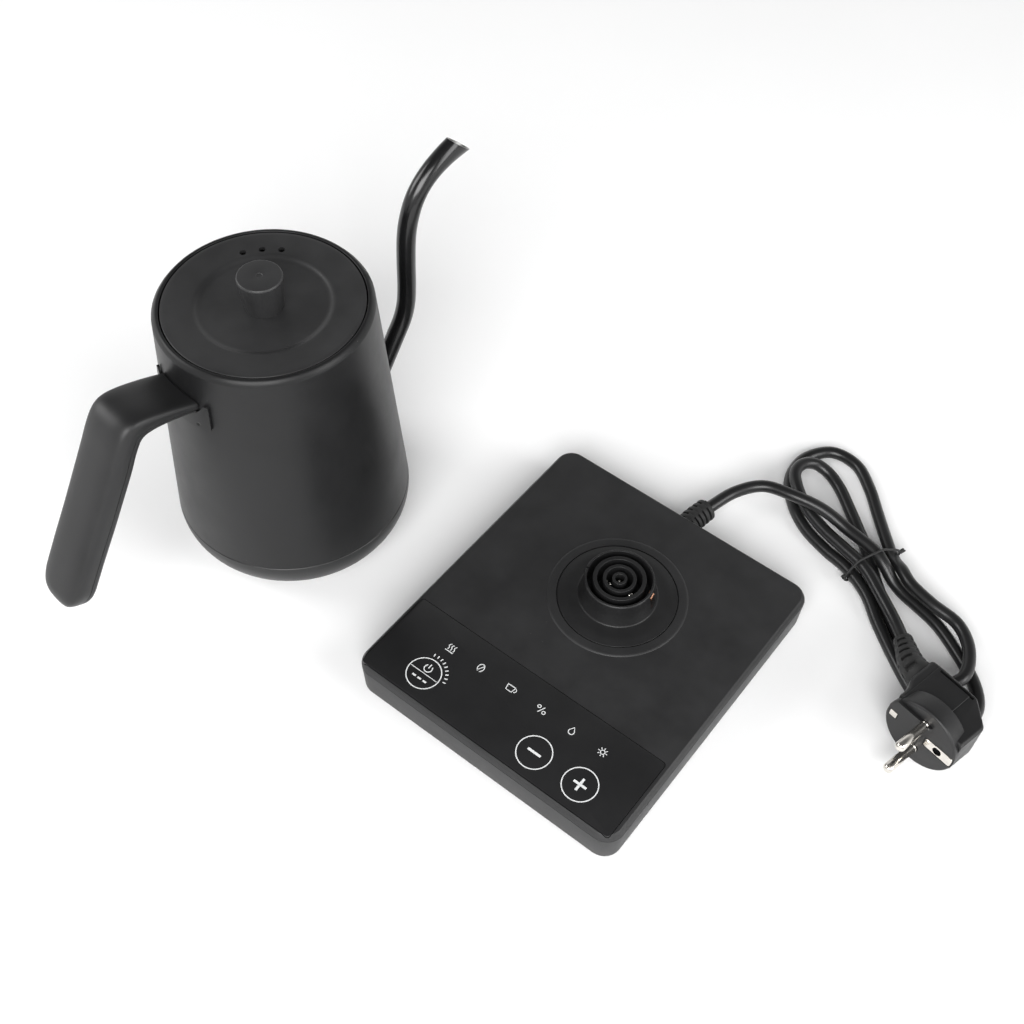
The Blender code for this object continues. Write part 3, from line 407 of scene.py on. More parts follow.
def smooth_path(points, spacing):
    """Evenly spaced points along a Catmull-Rom curve through given points."""
    ends = [points[0] * 2 - points[1], *points, points[-1] * 2 - points[-2]]
    dense = []
    for a, b, c, d in zip(ends, ends[1:], ends[2:], ends[3:]):
        for step in range(24):
            t = step / 24
            dense.append(0.5 * (2 * b + (c - a) * t + (2 * a - 5 * b + 4 * c - d) * t ** 2
                                + (3 * b - a - 3 * c + d) * t ** 3))
    dense.append(points[-1])
    total = sum((b - a).length for a, b in zip(dense, dense[1:]))
    count = max(2, round(total / spacing))
    return [point for point, _tangent in sample(dense, [total * i / count for i in range(count + 1)])]


def sample(path, distances):
    """Points and unit tangents at given distances along a path."""
    lengths = [0.0]
    for one, other in zip(path, path[1:]):
        lengths.append(lengths[-1] + (other - one).length)
    bearings = [(b - a).normalized() for a, b in zip([path[0], *path[:-1]], [*path[1:], path[-1]])]
    found = []
    index = 0
    for distance in distances:
        while index < len(path) - 2 and lengths[index + 1] < distance:
            index += 1
        part = (distance - lengths[index]) / (lengths[index + 1] - lengths[index])
        part = min(1.0, max(0.0, part))
        found.append((path[index].lerp(path[index + 1], part),
                      bearings[index].lerp(bearings[index + 1], part).normalized()))
    return found


def path_length(path):
    return sum((b - a).length for a, b in zip(path, path[1:]))


def tube(path, radius, steps=SMALL, distances=None, closed=False):
    """Round sweep; radius is a number or a function of distance and angle."""
    if not distances:
        total = path_length(path)
        count = len(path) - 1
        distances = [total * i / count for i in range(count + 1)]
    rings = []
    for distance, (point, tangent) in zip(distances, sample(path, distances)):
        side = tangent.cross(UP).normalized()
        up = side.cross(tangent)
        ring = []
        for i in range(steps):
            angle = tau * i / steps
            reach = radius(distance, angle) if callable(radius) else radius
            ring.append(point + reach * (cos(angle) * side + sin(angle) * up))
        rings.append(ring)
    return loft(rings[:-1], looped=True) if closed else loft(rings)


def trimmed(line, keep):
    """The stretch of a line where keep(point) is above zero, with as many points as before."""
    values = [keep(point) for point in line]
    above = [i for i, value in enumerate(values) if value > 0]
    first, last = above[0], above[-1]
    start, stop = float(first), float(last)
    if first > 0:
        start -= values[first] / (values[first] - values[first - 1])
    if last < len(line) - 1:
        stop += values[last] / (values[last] - values[last + 1])
    kept = []
    for i in range(len(line)):
        spot = start + (stop - start) * i / (len(line) - 1)
        low = min(int(spot), len(line) - 2)
        kept.append(line[low].lerp(line[low + 1], spot - low))
    return kept


def trimmed_rings(rings, keep):
    lines = [trimmed(list(line), keep) for line in zip(*rings)]
    return [list(ring) for ring in zip(*lines)]


def aimed(direction):
    return UP.rotation_difference(direction).to_matrix()


def screw(name, spot, direction, head, shank, length, node, body):
    """Pan-head screw with a cross recess; direction runs from the tip to the head."""
    profile = [(0, -length), (shank * 0.4, -length + 0.8, 0.2), (shank, -length + 2.2, 0.3),
               (shank, 0.0, 0.1), (head, 0.0, 0.15), (head, 0.55, 0.5), (head * 0.55, 1.1, 0.8), (0, 1.2)]
    cross = [less(slab((-w, w), (-h, h), [(0.1, depth), (0, 2.0)], 0.12, 2))
             for w, h, depth in ((head * 0.13, head * 0.6, 0.35), (head * 0.6, head * 0.13, 0.37))]
    place = PLACES[body] @ Matrix.Translation(spot) @ aimed(direction).to_4x4()
    piece(name, turned(profile, 0.2, 32, closed=False), "steel", body, node, place, cuts=cross)


# ---------------------------------------------------------------- cord, tie, plug

def plug_frame():
    side = (CABLE_SIDE - CABLE_SIDE.dot(PIN_DIRECTION) * PIN_DIRECTION).normalized()
    return Matrix((side.cross(PIN_DIRECTION), side, PIN_DIRECTION)).transposed()


PLUG_TURN = plug_frame()
PLUG = BASE @ Matrix.Translation(PLUG_FACE) @ PLUG_TURN.to_4x4()
CORD_ROUTE = [Vector(point) for point in (
    (.0030, .0983, .0117), (.0085, .1145, .0131), (.0185, .1255, .0152), (.0340, .1285, .0168),
    (.0495, .1310, .0155), (.0650, .1305, .0122), (.0805, .1277, .0121), (.0880, .1250, .0103),
    (.0960, .1222, .0054), (.1040, .1200, .0034), (.1125, .1180, .0033), (.1255, .1140, .0033),
    (.1395, .1060, .0033), (.1520, .0970, .0033), (.1595, .0875, .0033), (.1608, .0775, .0033),
    (.1555, .0698, .0033), (.1465, .0683, .0033), (.1370, .0720, .0033), (.1270, .0780, .0033),
    (.1140, .0875, .0033), (.1015, .0975, .0034), (.0895, .1075, .0048), (.0750, .1150, .0048),
    (.0600, .1195, .0033), (.0450, .1250, .0033), (.0320, .1350, .0033), (.0230, .1480, .0033),
    (.0220, .1635, .0033), (.0310, .1765, .0033), (.0455, .1770, .0033), (.0585, .1675, .0033),
    (.0695, .1560, .0033), (.0800, .1445, .0042), (.0900, .1340, .0054), (.0970, .1276, .0096),
    (.1045, .1223, .0103), (.1180, .1187, .0098), (.1330, .1165, .0090), (.1440, .1055, .0098),
    (.1480, .0905, .0100), (.1390, .0825, .0064), (.1250, .0890, .0034), (.1120, .0980, .0033),
    (.0995, .1080, .0039), (.0875, .1190, .0050), (.0770, .1310, .0046), (.0655, .1420, .0033),
    (.0545, .1515, .0033), (.0460, .1582, .0035), (.0370, .1618, .0052), (.0290, .1603, .0080),
    (.0246, .1538, .0097), (.0263, .1448, .0100), (.0380, .1338, .0094), (.0525, .1265, .0088),
    (.0675, .1215, .0097), (.0825, .1160, .0112), (.0960, .1075, .0104), (.1090, .0980, .0104),
    (.1186, .0886, .0123))]


def mains_cord():
    path = smooth_path(CORD_ROUTE, 0.0016)
    curve = bpy.data.curves.new("mains_cord", 'CURVE')
    curve.dimensions = '3D'
    curve.bevel_depth = CORD_RADIUS * MM
    curve.bevel_resolution = 6
    curve.use_fill_caps = True
    spline = curve.splines.new('POLY')
    spline.points.add(len(path) - 1)
    corner = BASE.translation
    for slot, point in zip(spline.points, path):
        slot.co = (*(point + corner), 1.0)
    spline.use_smooth = True
    thing = place_object("mains_cord", curve, [LOOKS["cord_vinyl"]], "base", "power_cord", "cord_vinyl")
    return thing, path[0] + corner


def relief_radius(ribs, rails, rail_width, collar):
    """Radius of a slotted sleeve: ribs are (start, stop, outer, inner), rails are angles left solid."""
    def radius(distance, angle):
        if distance <= collar[0]:
            return collar[1]
        value = None
        for start, stop, outer, inner in ribs:
            if distance < start:
                value = (outer, inner)
                break
            if distance <= stop:
                return outer
            value = (outer, inner)
        outer, inner = value
        for rail in rails:
            if abs((angle - rail + pi) % tau - pi) < rail_width:
                return outer - 0.12
        return inner
    return radius


def sleeve(name, path, count, outer, inner, collar, fill, rails, node):
    """Strain relief: count ribs spread over the path beyond a collar."""
    total = path_length(path)
    pitch = (total - collar[0] - 0.3) / count
    ribs = []
    edges = [0.0, 0.35, collar[0] - 0.25, collar[0]]
    for number in range(count):
        part = number / max(1, count - 1)
        start = collar[0] + (number + 1 - fill) * pitch
        stop = collar[0] + (number + 1) * pitch
        ribs.append((start, stop, outer[0] + (outer[1] - outer[0]) * part,
                     inner[0] + (inner[1] - inner[0]) * part))
        edges += [start - 0.12, start, (start + stop) / 2, stop, stop + 0.12]
    edges = sorted(d for d in set(edges) if d <= total - 0.05) + [total]
    base_radius = relief_radius(ribs, rails, 0.34, collar)

    def radius(distance, angle):
        value = base_radius(distance, angle)
        for start, stop, _outer, _inner in ribs:
            if abs(distance - start) < 1e-6 or abs(distance - stop) < 1e-6:
                value -= 0.18
        return value - (0.3 if distance < 0.01 else 0.0)

    return piece(name, tube(path, radius, 64, edges), "rubber", "base", node)


def make_reliefs():
    path = smooth_path([Vector(p) for p in ((0.8, 74.0, 11.5), (0.8, 82.0, 11.5), (1.3, 89.0, 11.5),
                                            (2.9, 97.8, 11.7))], 1.0)
    first = sleeve("base_sleeve", path, 5, (6.3, 5.9), (4.7, 4.2), (8.0, 6.4), 0.62,
                   (pi / 2, 3 * pi / 2), "base_strain_relief")
    out = -(PLUG_TURN @ Vector((0.0, 1.0, 0.0)))
    root = PLUG_FACE + PLUG_TURN @ CABLE_EXIT
    end = CORD_ROUTE[-1] / MM
    inward = (CORD_ROUTE[-2] / MM - end).normalized()
    end = end + 3.0 * inward
    path = interpolate_bezier(root, root + 8.0 * out, end - 8.0 * inward, end, 60)
    rails = [radians(80 + 90 * i) for i in range(4)]
    second = sleeve("plug_sleeve", path, 5, (6.5, 4.7), (4.9, 3.6), (2.6, 6.9), 0.5,
                    rails, "plug_strain_relief")
    return [first, second]


def wire_tie():
    """Thin wire about the strands, with a twist of its ends on either side."""
    along = Vector((0.43, 0.90, 0.0)).normalized()
    middle = Vector((84.0, 125.7, 0.0))
    loop = [(-13.4, 0.7), (-1.5, 0.7), (10.3, 0.8), (13.5, 2.2), (14.9, 5.2), (13.0, 8.8), (3.4, 15.2),
            (0.8, 16.0), (-9.5, 15.4), (-13.2, 13.5), (-17.1, 7.3), (-17.7, 4.8), (-16.4, 1.8)]
    points = [middle + distance * along + Vector((0.0, 0.0, z)) for distance, z in loop]
    wrap = smooth_path([points[-1], *points, points[0], points[1]], 0.8)
    start = min(range(20, 60), key=lambda i: (wrap[i] - points[1]).length)
    stop = min(range(len(wrap) // 2, len(wrap)), key=lambda i: (wrap[i] - points[1]).length)
    shapes = [tube(wrap[start:stop + 1] + [wrap[start]], 0.6, 16, closed=True)]
    across = along.cross(UP)
    for distance, z, reach, lift in ((14.6, 6.0, 2.8, 0.25), (-17.2, 6.0, -2.0, 0.1)):
        for phase in (0.0, pi):
            strand = []
            for step in range(25):
                t = step / 24
                turn = phase + t * tau * 1.6
                swing = 0.62 * min(1.0, 4 * t + 0.3)
                strand.append(middle + (distance + reach * t) * along
                              + Vector((0.0, 0.0, z + lift * reach * t + swing * sin(turn)))
                              + swing * cos(turn) * across)
            shapes.append(tube(strand, 0.5, 12))
    return piece("wire_tie", merged(shapes), "rubber", "base", "cord_tie")


def plug_pieces():
    """Angled earthed plug; its pins point along its own +Z and its cord leaves along -Y."""
    disc = turned([(0, 0), (17.6, 0, 0.3), (18.3, -0.7, 0.5), (18.15, -2.4, 0.6), (17.2, -10.0, 0.2),
                   (0, -10.0)], 0.3, 128, closed=False)
    outline = soften([(17.4, -3.0), (17.9, -18.7, 2.2), (6.3, -28.7, 2.0), (-14.0, -29.2, 1.2),
                      (-19.0, -28.9, 1.2), (-19.2, -14.0, 2.0), (-16.6, -9.0, 1.5), (-16.6, -3.0)], 0.3, 4)
    levels = [(-11.0, 0.90), (-10.9, 0.935), (-10.5, 0.97), (-9.6, 1.0), (7.8, 1.0), (8.7, 0.97),
              (9.1, 0.935), (9.2, 0.90)]
    trunk = loft([[(x, size * y, -18.0 + size * (z + 18.0)) for y, z in outline] for x, size in levels])
    pad = slab((-15.0, 4.0), (-24.0, 6.0), [(0.5, 0.0), (0.3, 0.35), (0.5, 0.5)], 1.2)
    top_side = Matrix(((0, 0, -1), (1, 0, 0), (0, 1, 0)))
    bmesh.ops.transform(pad, matrix=top_side.to_4x4(), verts=pad.verts)
    moved(pad, (-11.0, 0, -4.0))
    groove = slab((-13.5, 6.0), (-27.4, -25.4), [(0.4, -2.0), (0.4, 0.6)], 0.6)
    bmesh.ops.transform(groove, matrix=top_side.to_4x4(), verts=groove.verts)
    moved(groove, (-11.0, 0, 0))
    cuts = [('UNION', trunk), ('UNION', pad), less(groove)]
    recesses = [slab((-3.1, 3.1), (2.9, 19.9), [(0, -0.9), (0, 2.0)], 1.0),
                slab((-2.2, 2.2), (-16.7, -12.3), [(0, -0.9), (0, 2.0)], 0.3),
                slab((-4.4, 4.4), (-21.0, -17.9), [(0, -5.0), (0, 2.0)], 0.5)]
    holes = [cylinder(2.3, -14.0, 0.5, (0, 10.0)), cylinder(2.65, -3.0, 2.0, (-9.5, 0)),
             cylinder(2.65, -3.0, 2.0, (9.5, 0))]
    cuts += [less(*recesses), less(*holes)]
    made = [piece("plug_shell", disc, "black_plastic", "base", "plug_body", PLUG, cuts=cuts, sharp=28.0)]

    radius = 2.4
    tip = [(0, -2.9), (radius, -2.9), (radius, 0.6), (radius * 0.92, 0.9), (radius * 0.92, 9.0),
           (radius, 9.4), (radius, 16.8)]
    tip += [(radius * cos(a), 16.8 + 2.2 * sin(a)) for a in (radians(9 * k) for k in range(1, 10))]
    tip.append((0, 19.0))
    for number, side in enumerate((-9.5, 9.5), 1):
        pin = moved(lathe(tip, SMALL, closed=False), (side, 0, 0))
        made.append(piece(f"plug_prong_{number}", pin, "nickel", "base", f"plug_pin_{number}", PLUG))
    strip = slab((-2.7, 2.7), (3.3, 17.6), eased_levels(-0.7, 0.1, 0.2), 1.2)
    rib = slab((-3.3, -2.2), (8.6, 15.6), eased_levels(-0.6, 0.35, 0.15), 0.2)
    cuts = [less(cylinder(2.2, -3.0, 3.0, (0, 10.0))), ('UNION', rib)]
    made.append(piece("plug_earth_plate", strip, "nickel", "base", "plug_earth_clip_1", PLUG, cuts=cuts))
    square = slab((-1.9, 1.9), (-16.4, -12.6), eased_levels(-0.6, 0.1, 0.2), 0.4)
    made.append(piece("plug_earth_square", square, "nickel", "base", "plug_earth_clip_2", PLUG))
    return made


cord_piece, cord_exit = mains_cord()
cord_company = [*make_reliefs(), wire_tie(), *plug_pieces()]
tuple(cord_exit)


# ---------------------------------------------------------------- kettle

def body_radius(z):
    return RIM_RADIUS + (RIM_Z - z) * (BELLY_RADIUS - RIM_RADIUS) / (RIM_Z - BELLY_Z)


def spout_lines(tube_radius, grow, spacing=1.6):
    route = [(-44.0, 32.0), (-54.0, 46.6), (-62.3, 59.9), (-70.4, 72.6), (-75.6, 81.0), (-78.4, 89.6),
             (-79.5, 99.9), (-80.0, 114.0), (-80.9, 128.0), (-82.9, 138.0), (-86.6, 146.9),
             (-91.7, 153.4), (-97.6, 157.8), (-103.8, 160.8), (-110.5, 163.0), (-121.0, 165.5)]
    path = smooth_path([Vector((x, 0.0, z)) for x, z in route], spacing)
    total = path_length(path)
    flare_length = 32.0
    distances = [total * i / (len(path) - 1) for i in range(len(path))]
    rings = []
    for distance, (point, tangent) in zip(distances, sample(path, distances)):
        flare = max(0.0, (distance - total + flare_length) / flare_length)
        tall = tube_radius + 2.6 * flare ** 1.5
        up = Vector((-tangent.z, 0.0, tangent.x))
        ring = []
        for i in range(40):
            angle = tau * i / 40
            spoke = Vector((0.0, tube_radius * cos(angle), 0.0)) + tall * sin(angle) * up
            spot = point + spoke
            outside = hypot(spot.x, spot.y) - body_radius(spot.z)
            swell = 1 + grow * exp(-max(0.0, outside) / 1.3) / tube_radius
            ring.append(point + spoke * swell)
        rings.append(ring)
    return rings


def mouth_side(point):
    """Above zero on the near side of the slanted cut of the mouth."""
    lip = Vector((-107.6, 0.0, 170.1))
    tip = Vector((-120.8, 0.0, 157.9))
    along = (tip - lip).normalized()
    return -(point - lip).dot(Vector((along.z, 0.0, -along.x)))


def spout_piece():
    def keep(point):
        clear = hypot(point.x, point.y) - body_radius(point.z) + 0.9 * WALL
        return min(clear, mouth_side(point))

    outer = trimmed_rings(spout_lines(TUBE_RADIUS, 1.9), keep)
    inner = trimmed_rings(spout_lines(TUBE_RADIUS - 0.9, 0.0), keep)
    rings = outer + inner[::-1]
    shape = loft(rings, looped=True)
    shape.verts.index_update()
    across = len(rings[0])
    for face in shape.faces:
        if min(vert.index // across for vert in face.verts) >= len(outer):
            face.material_index = 1
    piece("spout_tube", shape, "spout_paint", "kettle", "spout", extra=(BARE_STEEL,), sharp=40.0)


def body_piece():
    shoulder = [(body_radius(140.9), 140.9, 0.3), (45.9, RIM_Z + 0.1, 1.3),
                (LIP_RADIUS + 0.1, RIM_Z + 0.1, 0.5), (LIP_RADIUS, 142.0, 0.3), (LIP_RADIUS, 136.4, 0.3),
                (LIP_RADIUS + 0.4, 135.6, 0.3)]
    top = soften(shoulder, 0.3, 4, closed=False) + [(body_radius(134.0) - WALL, 134.0)]
    levels = [COVER_TOP + GAP + 0.3 + (RIM_Z - 3.2 - COVER_TOP - GAP) * i / 20 for i in range(21)]
    outer = [(body_radius(COVER_TOP + GAP) - 0.3, COVER_TOP + GAP)]
    outer += [(body_radius(z), z) for z in levels]
    inner = [(body_radius(z) - WALL, z) for z in reversed(levels) if z < 130]
    profile = [*outer, *top, *inner, (body_radius(COVER_TOP + GAP) - WALL, COVER_TOP + GAP)]
    rings = spout_lines(TUBE_RADIUS + 0.2, 0.0, 4.0)[:9]
    piece("body_shell", lathe(profile), "body_paint", "kettle", "kettle_body",
          cuts=[less(loft(rings))], sharp=40.0)


FOOT_SCREWS = [polar(26.5, degrees) for degrees in (60, 180, 300)]


def foot_piece():
    centre = (FOOT_RADIUS, BELLY_Z)
    curve = [(centre[0] + BELLY_Z * sin(a), centre[1] - BELLY_Z * cos(a))
             for a in (pi / 2 * i / 20 for i in range(21))]
    inside = [(centre[0] + 20.0 * sin(a), centre[1] - 20.0 * cos(a))
              for a in (pi / 2 * i / 12 for i in range(13))]
    top = body_radius(COVER_TOP)
    profile = soften([(18.6, 5.0), (22.0, 1.6), (30.0, 1.6), (31.0, 0.0)], 0.3, 3, closed=False)
    profile += [*curve, (top, COVER_TOP - 0.3), (top - 0.3, COVER_TOP), (top - 1.6, COVER_TOP),
                *reversed(inside), (30.0, 3.6), (22.8, 3.6), (20.4, 6.0), (20.4, 19.0), (18.6, 19.0)]
    piece("foot_shell", lathe(profile), "black_plastic", "kettle", "bottom_cover",
          cuts=[less(*[cylinder(1.7, -1, 5, spot, 24) for spot in FOOT_SCREWS])])
    for number, spot in enumerate(FOOT_SCREWS, 1):
        screw(f"foot_screw_{number}", Vector((*spot, 1.4)), DOWN, 2.7, 1.4, 15.5,
              f"bottom_screw_{number}", "kettle")


def kettle_inside():
    """Boiling plate, sensor and the socket under the foot."""
    plate_top = 28.7
    radius = body_radius(plate_top) - WALL - GAP
    plate = turned([(0, 27.5), (radius - 0.6, 27.5), (radius, 28.1), (radius, plate_top), (40.0, plate_top),
                    (38.6, plate_top - 0.25), (37.0, plate_top), (0, plate_top)], 0.3, closed=False)
    piece("boiling_plate", plate, "steel", "kettle", "heater_plate",
          cuts=[less(cylinder(3.3, 20, 40, (SENSOR_X, 0)))])
    seal = turned([(3.0, 29.0), (5.4, 29.0), (5.4, 29.9), (3.0, 30.9)], 0.3, SMALL)
    piece("sensor_collar", moved(seal, (SENSOR_X, 0, 0)), "silicone", "kettle", "sensor_seal")
    probe = turned([(0, 19.6), (2.7, 19.6), (2.7, 34.0, 1.5), (1.8, 35.6, 1.0), (0, 36.2)], 0.3, SMALL, False)
    piece("sensor_probe", moved(probe, (SENSOR_X, 0, 0)), "steel", "kettle", "temperature_sensor")
    ceiling = 16.0
    housing = [(2.5, ceiling), (2.5, 9.0), (3.3, 9.0), (3.3, ceiling), (13.0, ceiling), (13.0, 6.0),
               (14.4, 6.0), (14.4, ceiling), (16.2, ceiling), (16.2, 17.9), (2.5, 17.9)]

    def ring(inner, outer, low, high):
        return [(inner, low), (outer, low), (outer, high), (inner, high)]

    for name, profile, slot, node in (
            ("socket_shell", housing, "black_plastic", "socket_housing"),
            ("socket_earth", ring(17.6, 18.2, 6.5, 19.0), "steel", "socket_earth_ring"),
            ("socket_live", ring(8.4, 9.2, 7.0, 15.7), "brass", "socket_ring_outer"),
            ("socket_neutral", ring(4.2, 4.9, 7.5, 15.7), "brass", "socket_ring_inner")):
        piece(name, turned(profile, 0.2, 96), slot, "kettle", node)
    pin = turned([(0, 8.0), (0.9, 8.0), (1.5, 8.8), (1.5, 19.0), (0, 19.0)], 0.3, 32, False)
    piece("socket_signal", pin, "brass", "kettle", "socket_pin")


# ---------------------------------------------------------------- handle

def grip_stations():
    """Stations along the grip's outer face: point, way inward, depth, half width, share of the depth."""
    outline = [(45.6, 125.5), (52.6, 128.5), (60.6, 131.7), (70.8, 135.0), (77.9, 135.7), (83.0, 133.2),
               (87.6, 127.2), (92.7, 118.3), (98.7, 108.0), (108.7, 91.0), (117.5, 76.6), (124.7, 64.4),
               (130.2, 54.8), (132.2, 49.8)]
    path = smooth_path([Vector((x, 0.0, z)) for x, z in outline], 0.5)
    total = path_length(path)
    straight = [(total - END_LENGTH) * i / 90 for i in range(90)]
    distances = straight + [total - END_LENGTH * (1 - sin(pi / 2 * i / 22)) for i in range(23)]
    stations = []
    samples = sample(path, distances)
    for index, (distance, (point, _tangent)) in enumerate(zip(distances, samples)):
        near = samples[max(0, index - 20):index + 21]
        tangent = sum((bearing for _spot, bearing in near), Vector()).normalized()
        thick = (ROOT_THICK + (GRIP_THICK - ROOT_THICK) * min(1.0, distance / GROWN_AT) ** 1.4
                 + exp(-((distance - BEND_AT) / 11.0) ** 2))
        left = max(0.004, total - distance)
        wide = sqrt(1 - (1 - min(1.0, left / END_LENGTH)) ** 2.1)
        deep = sqrt(1 - (1 - min(1.0, left / END_DEPTH)) ** 2.2)
        stations.append((point, Vector((tangent.z, 0.0, -tangent.x)), thick, GRIP_WIDTH / 2 * wide, deep))
    return stations


def grip_loft(section, stations, clear):
    """Skin of a grip piece, ended at a clearance from the body's wall."""
    rings = []
    for point, inward, thick, half, deep in stations:
        ring = []
        for across, depth in section(half, thick):
            depth = thick * 0.5 + (depth - thick * 0.5) * deep
            ring.append(point + Vector((0.0, across, 0.0)) + depth * inward)
        rings.append(ring)
    return loft(trimmed_rings(rings, lambda p: hypot(p.x, p.y) - body_radius(p.z) - clear))


def mirrored(points):
    """A row of corners and their mirror images, back to the start's other side."""
    return points + [(-across, *rest) for across, *rest in reversed(points)]


def shell_section(half, thick):
    wall = 0.16 * half
    deep = 0.62 * thick
    crown = mirrored([(half, deep, 0.2), (half, 0.30 * thick, 2.2), (0.88 * half, 0.09 * thick, 2.4),
                      (0.45 * half, 0.0, 4.5)])
    channel = mirrored([(wall - half, deep, 0.2), (wall - half, 0.26 * thick, 0.3)])
    return soften(crown + channel, 0.3, 4)


def cover_section(half, thick):
    return soften(mirrored([(half, 0.62 * thick + 0.2, 0.2), (half, 0.80 * thick, 1.2),
                            (0.80 * half, thick, 1.6)]), 0.3, 4)


def grip_pieces():
    stations = grip_stations()
    piece("grip_shell", grip_loft(shell_section, stations, 0.5), "black_plastic", "kettle", "handle_shell",
          sharp=38.0)
    coarse = smooth_path([station[0] for station in stations[::2]], 6.5)
    heads = []
    for distance in (26.0, path_length(coarse) - 38.0):
        (point, _tangent), = sample(coarse, [distance])
        heads.append(min(stations, key=lambda station: (station[0] - point).length)[:3])
    holes = [moved(lathe([(0, thick - 1.5), (3.1, thick - 1.5), (3.1, thick + 3), (0, thick + 3)], 32, False),
                   point, aimed(inward)) for point, inward, thick in heads]
    piece("grip_cover", grip_loft(cover_section, stations, 1.9), "black_plastic", "kettle",
          "handle_inner_cover", sharp=38.0, cuts=[less(*holes)])
    for number, (point, inward, thick) in enumerate(heads, 1):
        screw(f"grip_screw_{number}", point + inward * (thick - 1.45), inward, 2.7, 1.4, 3.0,
              f"handle_screw_{number}", "kettle")
    bracket_piece(stations)


def bracket_piece(stations):
    """Pressed saddle with four spot welds, dipped behind the grip, and the strip that runs into the grip."""
    half_angle, low, high = radians(21.0), 111.0, 126.0
    dip, dip_angle = 6.0, radians(17.0)
    radius = body_radius(118.0)
    half = (half_angle * radius, (high - low) / 2)
    corner = 2.2
    columns, rows = 96, 40
    welds = [(side * radians(a), z) for side in (-1, 1) for a, z in ((13.3, 120.9), (13.8, 113.4))]
    grid = []
    for row in range(rows + 1):
        v = -half[1] + 2 * half[1] * row / rows
        over = max(0.0, abs(v) - (half[1] - corner))
        reach = half[0] - corner + sqrt(max(0.0, corner ** 2 - over ** 2))
        grid.append([(reach * (2 * c / columns - 1), v) for c in range(columns + 1)])
    shape = bmesh.new()
    layers = []
    for offset in (GAP, GAP + WALL):
        layer = []
        for line in grid:
            verts = []
            for u, v in line:
                angle = u / radius
                under_grip = exp(-(angle / dip_angle) ** 10)
                z = (low + high) / 2 + v - dip * under_grip * max(0.0, v / half[1])
                dent = 0.0
                if offset > GAP:
                    for weld_angle, weld_z in welds:
                        away = hypot((angle - weld_angle) * radius, z - weld_z)
                        dent += 0.35 * exp(-(away / 0.75) ** 4)
                reach = body_radius(z) + offset - dent
                verts.append(shape.verts.new((reach * cos(angle), reach * sin(angle), z)))
            layer.append(verts)
        layers.append(layer)
    for layer in layers:
        for one, other in zip(layer, layer[1:]):
            for i in range(columns):
                shape.faces.new((one[i], one[i + 1], other[i + 1], other[i]))
    inner, outer = layers
    border = [(0, i) for i in range(columns)] + [(j, columns) for j in range(rows)]
    border += [(rows, columns - i) for i in range(columns)] + [(rows - j, 0) for j in range(rows)]
    for (j, i), (k, m) in zip(border, border[1:] + border[:1]):
        shape.faces.new((inner[j][i], inner[k][m], outer[k][m], outer[j][i]))
    for face in shape.faces:
        middle = face.calc_center_median()
        angle = atan2(middle.y, middle.x)
        if hypot(middle.x, middle.y) > body_radius(middle.z) + GAP + 0.4:
            for weld_angle, weld_z in welds:
                if hypot((angle - weld_angle) * radius, middle.z - weld_z) < 0.85:
                    face.material_index = 1

    def strip_section(_half, thick):
        start = 0.26 * thick + GAP
        return [(6.5, start), (6.5, start + 1.2), (-6.5, start + 1.2), (-6.5, start)]

    strip = grip_loft(strip_section, [(*station[:4], 1.0) for station in stations[:-26]], GAP + 0.5)
    piece("grip_bracket", merged([shape, strip]), "body_paint", "kettle", "handle_bracket",
          extra=(DARK_DOT,), sharp=40.0)


# ---------------------------------------------------------------- lid

VENTS = [polar(33.3, degrees) for degrees in (247.1, 232.5, 217.7)]


def lid_pieces():
    top = [(2.0, 141.0, 0.1), (22.0, 141.0, 3.0), (27.9, 141.1, 1.2), (30.0, 142.25, 1.1), (32.0, 142.4, 1.0),
           (42.4, 142.95, 0.6), (LID_RADIUS, 142.8, 0.35), (LID_RADIUS, 138.6, 0.2),
           (LID_RADIUS - 1.4, 138.6, 0.2), (LID_RADIUS - 1.4, 141.2, 0.4), (31.0, 140.6, 0.8),
           (28.0, 139.2, 0.8), (24.0, 138.5, 0.8), (2.0, 138.5, 0.1)]
    piece("lid_top", turned(top, 0.3, ROUND, rounds=5), "lid_paint", "lid", "lid_cover",
          cuts=[less(*[cylinder(1.5, 130, 150, spot, 40) for spot in VENTS])], sharp=40.0)
    knob = [(0, 150.0), (1.6, 150.0, 0.1), (1.6, 140.3, 0.1), (8.1, 140.3, 0.3), (8.3, 141.0, 0.4),
            (9.95, 157.1, 0.35), (9.45, 158.0, 0.4), (1.5, 158.0, 0.1), (1.25, 157.75, 0.1), (0, 157.75)]
    piece("lid_grip", turned(knob, 0.2, 112, closed=False), "lid_paint", "lid", "lid_knob")
    pan = [(1.9, 137.2), (5.4, 137.2), (7.0, 132.0), (40.0, 132.0, 1.0), (41.4, 133.4, 0.8), (41.4, 138.2),
           (40.6, 138.2), (40.6, 133.6), (39.6, 132.8), (7.6, 132.8), (6.0, 138.0), (1.9, 138.0)]
    piece("lid_pan", turned(pan, 0.25), "steel", "lid", "lid_inner_plate",
          cuts=[less(*[cylinder(1.5, 130, 136, spot, 40) for spot in VENTS])])
    seal = [(41.7, 134.4), (43.9, 135.2), (43.9, 136.0), (42.6, 136.4), (43.9, 137.2), (43.9, 137.9),
            (41.7, 137.9)]
    piece("lid_gasket", turned(seal, 0.3), "silicone", "lid", "lid_seal")
    screw("lid_screw", Vector((0, 0, 136.9)), DOWN, 3.2, 1.3, 11.5, "knob_screw", "lid")


# ---------------------------------------------------------------- power base

def base_ring(inset, z):
    return rounded_rectangle(BASE_X / 2 - inset, BASE_Y / 2 - inset, CORNER - min(inset, 4.0), z)


SCREW_SPOTS = corners(63.0, 72.5)
PAD_SPOTS = corners(52.0, 64.0)


